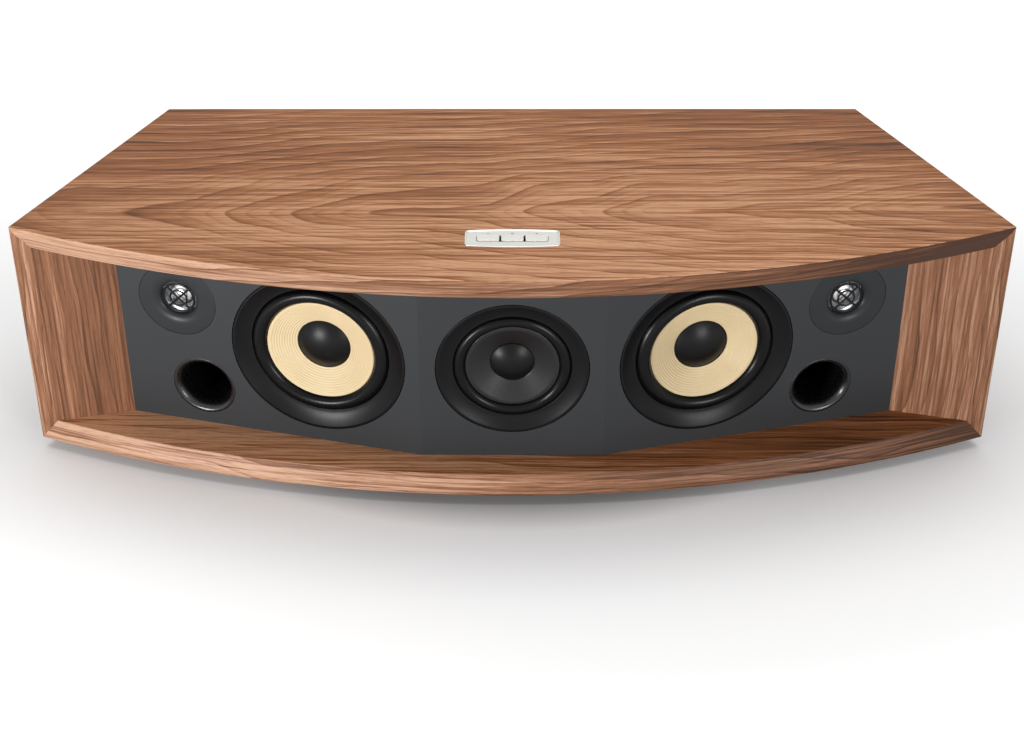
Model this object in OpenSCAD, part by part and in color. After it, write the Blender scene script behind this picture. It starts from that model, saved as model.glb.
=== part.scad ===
/* [Cabinet] */
// Width between the two front corners
cabinet_w = 790; // [770:1:810]
// Width across the back
back_w = 592; // [570:1:610]
// Height of the wooden cabinet without its feet
cabinet_h = 206; // [202:1:216]
// Depth from the front corners to the back
side_depth = 197; // [192:1:210]
// How far the bowed front stands ahead of its corners
front_bulge = 79; // [74:1:84]
// Thickness of the top and bottom panels
panel_t = 18; // [16:1:19]
// Thickness of the side panels
side_t = 14; // [12:1:18]
// Height of the flat band round the front edge
edge_band = 5; // [3:0.5:8]
// How far the bevel beside that band falls back
bevel_depth = 4.7; // [2:0.1:7]
// Thickness of the rear panel
rear_t = 12; // [9:1:15]
// How far the rear panel is set in from the back edges
rear_inset = 4; // [3:0.5:8]
// Thickness of the walls between the inner chambers
wall_t = 12; // [9:1:15]
// Depth of the closed chamber behind the middle driver
mid_chamber_d = 75; // [65:1:85]

/* [Feet] */
// Height of the rubber feet
foot_h = 10; // [6:1:16]
// Radius of the rubber feet
foot_r = 14; // [10:1:20]
// Distance of each foot from the side and from the ends of the side
foot_margin = 50; // [35:1:70]
// Chamfer at the bottom of each foot
foot_chamfer = 2; // [1:0.5:4]

/* [Baffle] */
// Thickness of the front baffle
baffle_t = 18; // [15:1:21]
// How far the middle facet lies behind the middle of the bowed front
baffle_setback = 31; // [27:1:36]
// Width of the middle facet
middle_facet_w = 148; // [144:1:156]
// Width of each side facet
side_facet_w = 251; // [247:1:256]
// Angle by which the side facets sweep back
facet_sweep = 14.2; // [13:0.2:15.6]
// Thickness of the wooden cheeks, measured along the side panels
cheek_t = 14; // [10:1:18]

/* [Woofers] */
// Distance of the woofer centres from the seams of the middle facet
woofer_offset = 84.5; // [82:0.5:88]
// Outer radius of the trim ring
woofer_trim_r = 72.4; // [70:0.1:74]
// Outer radius of the surround's roll
woofer_roll_r = 57.6; // [56:0.1:60]
// Radius of the cone
woofer_cone_r = 45; // [43:0.1:47]
// Depth of the dish that the trim ring forms
woofer_dish = 5.8; // [4:0.1:7]
// Radius of the dust cap
woofer_cap_r = 21.8; // [19:0.1:24]
// Depth of the dust cap's rim behind the baffle's face
woofer_cap_drop = 16; // [14.5:0.1:18]
// Height of the dust cap's dome
woofer_cap_h = 7; // [5:0.5:9]
// Inner radius of the voice coil
woofer_coil_r = 13; // [12:0.1:14]
// Depth of the spider behind the baffle's face
woofer_spider_drop = 26; // [25:0.5:28]
// Radius of the spider
woofer_spider_r = 35; // [33:0.5:37]
// Depth of the front motor plate behind the baffle's face
woofer_plate_drop = 36; // [35:0.5:40]
// Thickness of the front and back motor plates
woofer_plate_t = 6; // [5:0.5:8]
// Radius of the motor plates
woofer_plate_r = 38; // [36:0.5:41]
// Radius of the ring magnet
woofer_magnet_r = 42; // [39:0.5:45]
// Thickness of the ring magnet
woofer_magnet_t = 16; // [14:0.5:20]
// Travel of the cone each way
woofer_travel = 4; // [2:0.5:5]

/* [Midrange] */
// Outer radius of the trim ring
mid_trim_r = 61.1; // [59:0.1:64]
// Outer radius of the surround's roll
mid_roll_r = 47.3; // [46:0.1:50]
// Radius of the cone
mid_cone_r = 37.5; // [36:0.1:40]
// Depth of the dish that the trim ring forms
mid_dish = 4.3; // [3:0.1:5.5]
// Radius of the dust cap
mid_cap_r = 17.3; // [15:0.1:19]
// Depth of the dust cap's rim behind the baffle's face
mid_cap_drop = 11; // [10:0.1:12.5]
// Height of the dust cap's dome
mid_cap_h = 5.5; // [4:0.5:7]
// Inner radius of the voice coil
mid_coil_r = 10; // [9:0.1:11]
// Depth of the spider behind the baffle's face
mid_spider_drop = 19; // [18:0.5:20]
// Radius of the spider
mid_spider_r = 27; // [25:0.5:29]
// Depth of the front motor plate behind the baffle's face
mid_plate_drop = 27; // [26:0.5:30]
// Thickness of the front and back motor plates
mid_plate_t = 5; // [4:0.5:7]
// Radius of the motor plates
mid_plate_r = 31; // [29:0.5:34]
// Radius of the ring magnet
mid_magnet_r = 34; // [32:0.5:38]
// Thickness of the ring magnet
mid_magnet_t = 12; // [10:0.5:15]
// Travel of the cone each way
mid_travel = 2; // [1:0.5:3]

/* [Driver construction] */
// Thickness of the trim ring at its inner edge
trim_t = 1.5; // [1:0.1:2.5]
// Gap round the trim ring in the baffle
trim_gap = 0.6; // [0.3:0.1:1]
// Thickness of the surround's rubber
roll_t = 1; // [0.6:0.1:1.4]
// Width of the surround's glued inner lip
lip_w = 3; // [2:0.5:4]
// Thickness of the basket's flange
flange_t = 2; // [1.5:0.1:3]
// Thickness of the basket's sheet metal
sheet_t = 1.8; // [1.2:0.1:2.4]
// Number of windows in a basket
basket_windows = 6; // [4:1:8]
// Width of a rib between two basket windows
basket_rib_w = 12; // [8:1:16]
// Thickness of a cone
cone_t = 0.8; // [0.5:0.1:1.2]
// Thickness of a dust cap
cap_t = 0.7; // [0.5:0.1:1]
// Thickness of the spider's cloth
spider_t = 0.6; // [0.4:0.1:1]
// Height of the spider's corrugations
spider_wave_h = 1.4; // [0.8:0.1:2]
// Number of the spider's corrugations
spider_waves = 4; // [3:1:5]
// Thickness of the coil former
former_t = 0.4; // [0.3:0.1:0.6]
// Thickness of the coil's winding
winding_t = 0.8; // [0.5:0.1:1.2]
// Clearance between the coil and the steel on each side
coil_gap = 0.5; // [0.3:0.1:0.8]
// Distance of the magnet's bore from the pole
magnet_bore_gap = 6; // [4:0.5:8]
// Radius of the vent through the pole
pole_vent_r = 4; // [2:0.5:6]

/* [Tweeters] */
// Distance of the tweeter centres from the seams of the middle facet
tweeter_offset = 201.5; // [199:0.5:205]
// Height of the tweeters above the middle of the baffle
tweeter_rise = 33.6; // [30:0.2:38]
// Radius of the faceplate
tweeter_plate_r = 32.6; // [30:0.1:35]
// Thickness of the faceplate
tweeter_plate_t = 5; // [4:0.5:7]
// Radius of the flare at the faceplate's surface
tweeter_flare_r = 20; // [18:0.5:23]
// Radius of the flare at its bottom
tweeter_throat_r = 14.6; // [14:0.1:15.4]
// Radius of the dome
tweeter_dome_r = 12.5; // [11:0.1:12.8]
// Height of the dome
tweeter_dome_h = 5; // [4:0.5:6]
// Radius of the faceplate's rear hub
tweeter_hub_r = 24; // [22:0.5:26]
// Radius of the motor
tweeter_motor_r = 22; // [19:0.5:24]
// Length of the motor
tweeter_motor_l = 20; // [16:1:26]
// Width of the guard's arms and rings
guard_w = 1.4; // [1:0.1:2]
// Thickness of the guard's arms
guard_t = 1; // [0.8:0.1:1.4]
// Radius of the guard's inner ring
guard_inner_r = 7; // [5:0.5:9]

/* [Ports] */
// Distance of the port centres from the seams of the middle facet
port_offset = 185.5; // [182:0.5:189]
// Depth of the ports below the middle of the baffle
port_drop = 47.8; // [44:0.2:50]
// Outer radius of the port's mouth
port_mouth_r = 26.6; // [25:0.1:29]
// Inner radius of the port's tube
port_bore_r = 20; // [18:0.5:22]
// Thickness of the tube's wall
port_wall = 2.5; // [2:0.1:3]
// Rounding of the mouth
port_flare = 5.5; // [4:0.5:6]
// Thickness of the mouth's rim
port_rim_t = 3; // [2:0.5:4]
// Length of the port
port_l = 105; // [80:1:120]

/* [Control panel] */
// Distance of the panel's centre behind the front edge
control_setback = 61.7; // [55:0.1:70]
// Width of the metal bezel
bezel_w = 74; // [72:1:80]
// Depth of the bezel at its middle
bezel_d = 26.5; // [26:0.5:30]
// How far the bezel's long sides bulge
bezel_bulge = 2; // [1:0.5:3]
// Corner radius of the bezel
bezel_corner_r = 6; // [4:0.5:8]
// Thickness of the bezel's plate
bezel_t = 2.5; // [2:0.1:3]
// Width of the bezel's raised rim
rim_w = 1.3; // [0.8:0.1:2]
// Height of the raised rim
rim_h = 0.7; // [0.4:0.1:1]
// Width of a button
key_w = 17.3; // [16:0.1:18]
// Depth of a button
key_d = 8.6; // [7:0.1:10]
// Corner radius of a button
key_corner_r = 1.5; // [0.8:0.1:2]
// Gap between two buttons
key_gap = 1.6; // [1.2:0.1:2]
// Clearance between a button and the bezel
key_clearance = 0.3; // [0.2:0.05:0.5]
// How far the buttons stand above the plate
key_rise = 1.1; // [0.9:0.1:1.5]
// Travel of a button
key_travel = 0.8; // [0.5:0.1:0.9]
// Thickness of the buttons' retaining flange
key_flange_t = 1; // [0.8:0.1:1.4]
// Width of the flange behind and before a button
key_flange_w = 1.5; // [1:0.1:2]
// Height of the bosses that carry the control board
boss_h = 4; // [3.6:0.1:5]
// Depth of the pocket under the bezel
pocket_d = 12; // [10:0.5:13]

/* [Rear connections] */
// Width of the connector recess
recess_w = 104; // [100:1:112]
// Height of the connector recess
recess_h = 128; // [120:1:140]
// Depth of the connector recess
recess_d = 14; // [10:1:16]
// Thickness of the connector panel's sheet
connector_t = 2; // [1.5:0.1:2.5]
// Width of the flange round the recess
connector_lip = 9; // [6:1:12]
// Corner radius of the recess
recess_corner_r = 6; // [3:0.5:10]
// Height of the sockets' board under the middle of the recess
board_drop = 10; // [4:1:16]
// Depth of the mains inlet's centre under the middle of the recess
inlet_drop = 43; // [40:1:46]

/* [Electronics] */
// Thickness of the circuit boards
pcb_t = 1.6; // [1.2:0.1:2]
// Width of the main board
main_board_w = 94; // [88:1:98]
// Length of the main board
main_board_l = 88; // [80:1:96]
// Width of the power supply board
supply_board_w = 112; // [104:1:118]
// Length of the power supply board
supply_board_l = 74; // [66:1:84]
// Height of the spacers under the power supply board
spacer_h = 8; // [5:0.5:12]
// Height of the heat sink's fins
fin_h = 20; // [12:1:26]
// Number of the heat sink's fins
fin_count = 9; // [6:1:12]

/* [Hidden] */

// Smoothness of round parts, and of the cabinet's wide arcs
$fn = 96;
arc_fn = 720;
// How far a cutting shape runs past what it cuts
past = 1;
// Clearance round a round piece in its bore, and round a piece let into a panel
bore_gap = 0.5;
seat_gap = 0.25;

walnut = "#8a5a3c";
charcoal = "#4a4c50";
satin_black = "#2a2b2d";
gloss_black = "#17181a";
cream = "#d9cf9c";
silver = "#c3c3be";
steel = "#8f949a";
ferrite = "#3a3d40";
copper = "#b26a3a";
cloth = "#b8902f";
board_green = "#2f6b45";
rubber_black = "#1d1d1e";
raw_board = "#b58f63";
pale_plastic = "#dedcd2";
dark_plastic = "#202123";
shield_grey = "#9ba0a3";

half_w = cabinet_w / 2;
depth = side_depth + front_bulge;
y_apex = -depth / 2;
y_corner = y_apex + front_bulge;
y_back = depth / 2;
z_under = foot_h;
z_top = foot_h + cabinet_h;
z_shelf = z_under + panel_t;
z_ceiling = z_top - panel_t;
inner_h = z_ceiling - z_shelf;
z_axis = (z_shelf + z_ceiling) / 2;

// The bowed front is one arc through both front corners
arc_r = (pow(half_w, 2) + pow(front_bulge, 2)) / (2 * front_bulge);
arc_y = y_apex + arc_r;

// The sides lean inward toward the back
side_run = (cabinet_w - back_w) / 2;
side_angle = atan(side_run / side_depth);
side_l = norm([side_run, side_depth]);
front_reach = (front_bulge + past) / cos(side_angle);
side_band = edge_band * side_t / panel_t;

// A point n outside the right side's face and s behind its front corner
function side_point(n, s) = [
    half_w + n * cos(side_angle) - s * sin(side_angle),
    y_corner + n * sin(side_angle) + s * cos(side_angle)
];

// Where a line n outside the side's face meets the front arc of radius r
function arc_reach(n, r) =
    let (p = side_point(n, 0) - [0, arc_y])
    let (b = p * [-sin(side_angle), cos(side_angle)])
    -b - sqrt(b * b - p * p + r * r);

function flip(p) = [-p[0], p[1]];

bevel_outer = [-side_band, arc_reach(-side_band, arc_r)];
bevel_inner = [-side_t, arc_reach(-side_t, arc_r - bevel_depth)];

// The faceted baffle
y_baffle = y_apex + baffle_setback;
seam_x = middle_facet_w / 2;
seam_back_x = seam_x - baffle_t * tan(facet_sweep / 2);
y_baffle_back = y_baffle + baffle_t;
baffle_end = [
    seam_x + side_facet_w * cos(facet_sweep),
    y_baffle + side_facet_w * sin(facet_sweep)
];
baffle_end_back = baffle_end + baffle_t * [-sin(facet_sweep), cos(facet_sweep)];

// The inner walls and the rear panel
wall_x = seam_back_x - wall_t / 2;
y_cross = y_baffle_back + mid_chamber_d;
y_rear = y_back - rear_inset;
y_rear_inside = y_rear - rear_t;

// Width of the basket's ledge under the spider, and of the spider's flat collar at the coil
spider_shelf_w = 5;
spider_collar_w = 2;

// Depths in a tweeter, measured out of the baffle's face
dome_gap = 0.4;
dome_clearance = 0.6;
dome_rim_t = 1;
dome_rim_w = 4;
tweeter_ledge = -tweeter_plate_t;
guard_top = tweeter_ledge + 2 * guard_t;
dome_top = tweeter_ledge - dome_gap;
dome_base = dome_top - tweeter_dome_h;
throat_bore_r = tweeter_dome_r + dome_clearance;

// The control panel
key_pitch = key_w + key_gap;
key_row_w = 3 * key_w + 2 * key_gap;
boss_r = 2;
boss_x = key_row_w / 2 + key_clearance + boss_r;
pocket_w = 2 * (boss_x + boss_r + past);
pocket_margin = 4;
pocket_l = key_d + 2 * (key_flange_w + pocket_margin);
cable_hole_r = 4;
lens_r = (pow(bezel_w / 2, 2) + pow(bezel_bulge, 2)) / (2 * bezel_bulge);
stem_r = 1.5;
switch_size = 6;
switch_h = 1.2;
stem_clearance = 0.15;
stem_l = boss_h - key_flange_t - switch_h - key_travel - stem_clearance;

// The connector recess, seen from behind: x runs to the left, y up and z out of the back
z_floor_face = -recess_d;
z_floor_inside = -recess_d - connector_t;
board_y = -board_drop;
rail_w = 4;
rail_h = 6;
rail_short = 10;
socket_gap = 0.3;
network_x = 30;
network_w = 16;
network_h = 14;
network_l = 21;
optical_x = 2;
optical_w = 11;
optical_h = 11;
optical_l = 14;
jack_x = -24;
jack_w = 9;
jack_h = 9;
jack_l = 14;
jack_bore_r = 1.8;
inlet_w = 27;
inlet_h = 20;
inlet_l = 22;
inlet_flange = 1.5;
inlet_flange_w = 2;
inlet_wall = 1.8;
inlet_floor = 5;
chip_w = 14;
chip_h = 3;
chip_y = 50;

module mirrored() {
    children();
    mirror([1, 0, 0]) children();
}

module block(w, d, h) {
    translate([-w / 2, -d / 2, 0]) cube([w, d, h]);
}

module rounded_rect(w, d, r) {
    square([w - 2 * r, d], center = true);
    square([w, d - 2 * r], center = true);
    for (x = [-1, 1], y = [-1, 1])
        translate([x * (w / 2 - r), y * (d / 2 - r)]) circle(r);
}

// The frame of the right side panel: x out of its face, y back along it
module in_side_frame() {
    translate([half_w, y_corner, 0]) rotate([0, 0, side_angle]) children();
}

// A cross-section, out of the side's face and up, run along the whole side
module along_side() {
    in_side_frame() translate([0, side_l + past, 0]) rotate([90, 0, 0])
        linear_extrude(side_l + past + front_reach) children();
}

// The cabinet's plan with its sides run forward past the arc
module plan_trapezoid() {
    front = side_point(0, -front_reach);
    back = side_point(0, side_l);
    polygon([front, back, flip(back), flip(front)]);
}

// A bowed panel lying on z = 0, with its bevel toward its underside
module bowed_panel() {
    mitre_over = 0.1;
    low = -panel_t * mitre_over;
    high = panel_t + panel_t * mitre_over;
    difference() {
        intersection() {
            linear_extrude(panel_t) plan_trapezoid();
            translate([0, arc_y, 0]) union() {
                cylinder(h = panel_t - edge_band, r1 = arc_r - bevel_depth, r2 = arc_r, $fn = arc_fn);
                translate([0, 0, panel_t - edge_band]) cylinder(h = edge_band, r = arc_r, $fn = arc_fn);
            }
        }
        mirrored() along_side()
            polygon([
                [side_t * mitre_over, high],
                [-side_t * (1 + mitre_over), low],
                [side_t * mitre_over, low]
            ]);
    }
}

module top_panel() {
    color(walnut) difference() {
        translate([0, 0, z_ceiling]) bowed_panel();
        on_top() {
            translate([0, 0, -bezel_t]) linear_extrude(bezel_t + past) bezel_outline(seat_gap);
            translate([0, 0, -pocket_d]) block(pocket_w, pocket_l, pocket_d);
            translate([0, 0, -panel_t - past]) cylinder(h = panel_t, r = cable_hole_r);
        }
    }
}

module bottom_panel() {
    color(walnut) translate([0, 0, z_shelf]) mirror([0, 0, 1]) bowed_panel();
}

module side_panel() {
    overrun = 0.2;
    beyond = bevel_inner + overrun * (bevel_inner - bevel_outer);
    color(walnut) difference() {
        intersection() {
            along_side() polygon([[0, z_under], [0, z_top], [-side_t, z_ceiling], [-side_t, z_shelf]]);
            translate([0, 0, z_under]) linear_extrude(cabinet_h) intersection() {
                translate([0, arc_y]) circle(arc_r, $fn = arc_fn);
                translate([0, y_apex]) square([cabinet_w, depth]);
            }
        }
        in_side_frame() translate([0, 0, z_under - past]) linear_extrude(cabinet_h + 2 * past)
            polygon([bevel_outer, beyond, [beyond[0], -front_reach], [bevel_outer[0], -front_reach]]);
    }
}

module right_side_panel() {
    side_panel();
}

module left_side_panel() {
    mirror([1, 0, 0]) side_panel();
}

module rear_panel() {
    outer_s = (y_rear - y_corner + side_t * sin(side_angle)) / cos(side_angle);
    inner_s = (y_rear_inside - y_corner + side_t * sin(side_angle)) / cos(side_angle);
    outer = side_point(-side_t, outer_s);
    inner = side_point(-side_t, inner_s);
    color(satin_black) difference() {
        translate([0, 0, z_shelf]) linear_extrude(inner_h) polygon([inner, outer, flip(outer), flip(inner)]);
        at_rear() translate([0, 0, -rear_t - past]) linear_extrude(rear_t + 2 * past)
            rounded_rect(recess_w + 2 * bore_gap, recess_h + 2 * bore_gap, recess_corner_r + bore_gap);
    }
}

// The cheek closes the front between the baffle's end and the side panel
module cheek() {
    front_outer = side_point(bevel_inner[0], bevel_inner[1]);
    back_outer = side_point(bevel_inner[0], bevel_inner[1] + cheek_t);
    color(walnut) translate([0, 0, z_shelf]) linear_extrude(inner_h)
        polygon([baffle_end, front_outer, back_outer, baffle_end_back]);
}

module right_cheek() {
    cheek();
}

module left_cheek() {
    mirror([1, 0, 0]) cheek();
}

// Frames on the baffle's face: x along the facet, y up, z out of the face
module on_middle_facet() {
    translate([0, y_baffle, z_axis]) rotate([90, 0, 0]) children();
}

module on_right_facet(offset, rise) {
    translate([seam_x, y_baffle, z_axis]) rotate([0, 0, facet_sweep])
        translate([offset, 0, rise]) rotate([90, 0, 0]) children();
}

module on_left_facet(offset, rise) {
    mirror([1, 0, 0]) on_right_facet(offset, rise) children();
}

// Sizes of the two kinds of driver, handed to the shared pieces below
module woofer_sizes() {
    $trim_r = woofer_trim_r;
    $roll_r = woofer_roll_r;
    $cone_r = woofer_cone_r;
    $dish = woofer_dish;
    $cap_r = woofer_cap_r;
    $cap_drop = woofer_cap_drop;
    $cap_h = woofer_cap_h;
    $coil_r = woofer_coil_r;
    $spider_drop = woofer_spider_drop;
    $spider_r = woofer_spider_r;
    $plate_drop = woofer_plate_drop;
    $plate_t = woofer_plate_t;
    $plate_r = woofer_plate_r;
    $magnet_r = woofer_magnet_r;
    $magnet_t = woofer_magnet_t;
    $travel = woofer_travel;
    children();
}

module mid_sizes() {
    $trim_r = mid_trim_r;
    $roll_r = mid_roll_r;
    $cone_r = mid_cone_r;
    $dish = mid_dish;
    $cap_r = mid_cap_r;
    $cap_drop = mid_cap_drop;
    $cap_h = mid_cap_h;
    $coil_r = mid_coil_r;
    $spider_drop = mid_spider_drop;
    $spider_r = mid_spider_r;
    $plate_drop = mid_plate_drop;
    $plate_t = mid_plate_t;
    $plate_r = mid_plate_r;
    $magnet_r = mid_magnet_r;
    $magnet_t = mid_magnet_t;
    $travel = mid_travel;
    children();
}

// Heights in a driver, measured out of the baffle's face
function lip_top() = -$dish - trim_t;
function flange_top() = lip_top() - roll_t;
function flange_bottom() = flange_top() - flange_t;
function plate_bottom() = -$plate_drop - $plate_t;
function yoke_top() = plate_bottom() - $magnet_t;
function cone_slope() = ($cap_drop + lip_top() + cone_t) / ($cone_r - lip_w - $cap_r);
function neck_top() = -$cap_drop - cone_slope() * ($cap_r - former_r());

// Radii in a driver
function basket_neck_r() = $roll_r + past;
function former_r() = $coil_r + former_t;
function plate_bore_r() = former_r() + winding_t + coil_gap;
function pole_r() = $coil_r - coil_gap;

module driver_cut() {
    translate([0, 0, flange_bottom()]) cylinder(h = past - flange_bottom(), r = $trim_r + trim_gap);
    translate([0, 0, -2 * baffle_t]) cylinder(h = 2 * baffle_t, r = basket_neck_r() + bore_gap);
}

module driver_trim() {
    color(satin_black) rotate_extrude()
        polygon([[$trim_r, 0], [$roll_r, -$dish], [$roll_r, lip_top()], [$trim_r, lip_top()]]);
}

// A pressed basket: flange, sloping wall with windows, spider shelf and base on the motor plate
module driver_basket() {
    flange_z = flange_bottom();
    shelf_r = $spider_r - spider_shelf_w;
    wall_lean = 1.3 * sheet_t;
    window_w = 2 * PI * $spider_r / basket_windows - basket_rib_w;
    window_low = -$spider_drop + sheet_t;
    window_high = flange_z - sheet_t;
    color(ferrite) difference() {
        rotate_extrude() polygon([
            [$trim_r, flange_top()],
            [$trim_r, flange_z],
            [basket_neck_r(), flange_z],
            [$spider_r + sheet_t, -$spider_drop - sheet_t],
            [shelf_r, -$spider_drop - sheet_t],
            [shelf_r, -$plate_drop],
            [plate_bore_r() + past, -$plate_drop],
            [plate_bore_r() + past, -$plate_drop + sheet_t],
            [shelf_r - sheet_t, -$plate_drop + sheet_t],
            [shelf_r - sheet_t, -$spider_drop],
            [$spider_r, -$spider_drop],
            [basket_neck_r() - wall_lean, flange_top()]
        ]);
        for (i = [0:basket_windows - 1])
            rotate(360 * i / basket_windows) translate([$cone_r / 2, -window_w / 2, window_low])
                cube([$cone_r, window_w, window_high - window_low]);
    }
}

module driver_surround() {
    roll_centre = ($roll_r + $cone_r) / 2;
    roll_radius = ($roll_r - $cone_r) / 2;
    color(gloss_black) rotate_extrude() {
        translate([roll_centre, flange_top()]) difference() {
            circle(roll_radius);
            circle(roll_radius - roll_t);
            translate([-roll_radius - past, -roll_radius - past])
                square([2 * (roll_radius + past), roll_radius + past]);
        }
        translate([$roll_r - roll_t, flange_top()]) square([$trim_r - $roll_r + roll_t, roll_t]);
        translate([$cone_r - lip_w, flange_top()]) square([lip_w + roll_t, roll_t]);
    }
}

module driver_cone(tint) {
    foot = [former_r(), neck_top()];
    bend = [$cone_r - lip_w, lip_top() + cone_t];
    color(tint) rotate_extrude() polygon([
        [$cone_r, lip_top() + cone_t],
        bend,
        foot,
        foot - [0, cone_t],
        [$cone_r - lip_w, lip_top()],
        [$cone_r, lip_top()]
    ]);
}

module driver_dust_cap() {
    ball_r = (pow($cap_r, 2) + pow($cap_h, 2)) / (2 * $cap_h);
    color(satin_black) rotate_extrude() intersection() {
        translate([0, $cap_h - $cap_drop - ball_r]) difference() {
            circle(ball_r, $fn = 4 * $fn);
            circle(ball_r - cap_t, $fn = 4 * $fn);
        }
        translate([0, -$cap_drop]) square([$cap_r, $cap_h + past]);
    }
}

module driver_voice_coil() {
    winding_h = $plate_t + 2 * $travel;
    winding_low = -$plate_drop - $plate_t / 2 - winding_h / 2;
    former_low = winding_low - past;
    color(copper) rotate_extrude() {
        translate([$coil_r, former_low]) square([former_t, neck_top() - former_low]);
        translate([$coil_r, winding_low]) square([former_t + winding_t, winding_h]);
    }
}

// The spider is a cloth disc with rings of corrugations, glued to its shelf and to the former
module driver_spider() {
    shelf_in = $spider_r - spider_shelf_w - sheet_t - past;
    wave_in = former_r() + spider_collar_w;
    wave_l = (shelf_in - wave_in) / (2 * spider_waves);
    zigzag = [for (i = [0:2 * spider_waves]) [wave_in + i * wave_l, (i % 2) * spider_wave_h]];
    top_edge = concat([[former_r(), spider_t]], [for (p = zigzag) p + [0, spider_t]], [[$spider_r, spider_t]]);
    bottom_edge = concat([[$spider_r, 0]], [for (i = [2 * spider_waves:-1:0]) zigzag[i]], [[former_r(), 0]]);
    color(cloth) translate([0, 0, -$spider_drop]) rotate_extrude() polygon(concat(top_edge, bottom_edge));
}

module driver_magnet() {
    bore_r = pole_r() + magnet_bore_gap;
    chamfer = 1;
    color(ferrite) translate([0, 0, yoke_top()]) rotate_extrude() polygon([
        [bore_r, 0],
        [$magnet_r - chamfer, 0],
        [$magnet_r, chamfer],
        [$magnet_r, $magnet_t - chamfer],
        [$magnet_r - chamfer, $magnet_t],
        [bore_r, $magnet_t]
    ]);
}

// The front plate, and the back plate with the pole that the coil rides over
module driver_motor() {
    color(steel) {
        translate([0, 0, plate_bottom()]) difference() {
            cylinder(h = $plate_t, r = $plate_r);
            translate([0, 0, -past]) cylinder(h = $plate_t + 2 * past, r = plate_bore_r());
        }
        translate([0, 0, yoke_top() - $plate_t]) difference() {
            union() {
                cylinder(h = $plate_t, r = $plate_r);
                cylinder(h = 2 * $plate_t + $magnet_t, r = pole_r());
            }
            translate([0, 0, -past]) cylinder(h = 2 * ($plate_t + past) + $magnet_t, r = pole_vent_r);
        }
    }
}

module tweeter_cut() {
    translate([0, 0, -tweeter_plate_t])
        cylinder(h = tweeter_plate_t + past, r = tweeter_plate_r + seat_gap);
    translate([0, 0, -2 * baffle_t]) cylinder(h = 2 * baffle_t, r = tweeter_hub_r + bore_gap);
}

module tweeter_faceplate() {
    color(charcoal) rotate_extrude() polygon([
        [tweeter_plate_r, 0],
        [tweeter_flare_r, 0],
        [tweeter_throat_r, tweeter_ledge],
        [throat_bore_r, tweeter_ledge],
        [throat_bore_r, dome_base],
        [tweeter_hub_r, dome_base],
        [tweeter_hub_r, -tweeter_plate_t],
        [tweeter_plate_r, -tweeter_plate_t]
    ]);
}

// Two rings carried by crossed arms that reach past the outer ring into the flare
module tweeter_guard() {
    flare_at_arm = tweeter_throat_r
        + (tweeter_flare_r - tweeter_throat_r) * (guard_top - guard_t - tweeter_ledge) / tweeter_plate_t;
    arm_l = 2 * (flare_at_arm - seat_gap);
    outer_r = tweeter_throat_r - seat_gap;
    color(gloss_black) difference() {
        union() {
            translate([0, 0, tweeter_ledge]) cylinder(h = 2 * guard_t, r = outer_r);
            for (turn = [45, 135])
                rotate(turn) translate([0, 0, guard_top - guard_t]) block(arm_l, guard_w, guard_t);
        }
        translate([0, 0, tweeter_ledge - past]) difference() {
            cylinder(h = 2 * (guard_t + past), r = outer_r - guard_w);
            for (turn = [45, 135]) rotate(turn) translate([0, 0, past + guard_t])
                block(arm_l, guard_w, guard_t);
            translate([0, 0, past + guard_t]) difference() {
                cylinder(h = guard_t, r = guard_inner_r + guard_w / 2);
                translate([0, 0, -past]) cylinder(h = guard_t + 2 * past, r = guard_inner_r - guard_w / 2);
            }
        }
    }
}

module tweeter_dome() {
    ball_r = (pow(tweeter_dome_r, 2) + pow(tweeter_dome_h, 2)) / (2 * tweeter_dome_h);
    color(silver) rotate_extrude() {
        intersection() {
            translate([0, dome_top - ball_r]) difference() {
                circle(ball_r, $fn = 4 * $fn);
                circle(ball_r - cap_t, $fn = 4 * $fn);
            }
            translate([0, dome_base - dome_rim_t]) square([tweeter_dome_r, tweeter_dome_h + 2 * dome_rim_t]);
        }
        translate([tweeter_dome_r - cap_t, dome_base - dome_rim_t])
            square([cap_t + dome_rim_w, dome_rim_t]);
    }
}

module tweeter_motor() {
    neck_l = 3;
    shoulder = 3;
    neck_r = tweeter_motor_r - shoulder;
    color(ferrite) translate([0, 0, dome_base - dome_rim_t - tweeter_motor_l]) rotate_extrude() polygon([
        [0, 0],
        [tweeter_motor_r, 0],
        [tweeter_motor_r, tweeter_motor_l - neck_l],
        [neck_r, tweeter_motor_l - neck_l],
        [neck_r, tweeter_motor_l],
        [0, tweeter_motor_l]
    ]);
}

// A reflex port with a rounded mouth, let into the baffle by its rim
module port_tube() {
    color(gloss_black) rotate_extrude() difference() {
        union() {
            translate([port_bore_r, -port_rim_t]) square([port_mouth_r - port_bore_r, port_rim_t]);
            translate([port_bore_r, -port_l]) square([port_wall, port_l - port_rim_t]);
        }
        difference() {
            translate([port_bore_r - past, -port_flare]) square([port_flare + past, port_flare + past]);
            translate([port_bore_r + port_flare, -port_flare]) circle(port_flare);
        }
    }
}

module port_cut() {
    translate([0, 0, -port_rim_t]) cylinder(h = port_rim_t + past, r = port_mouth_r + seat_gap);
    translate([0, 0, -2 * baffle_t]) cylinder(h = 2 * baffle_t, r = port_bore_r + port_wall + bore_gap);
}

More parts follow.
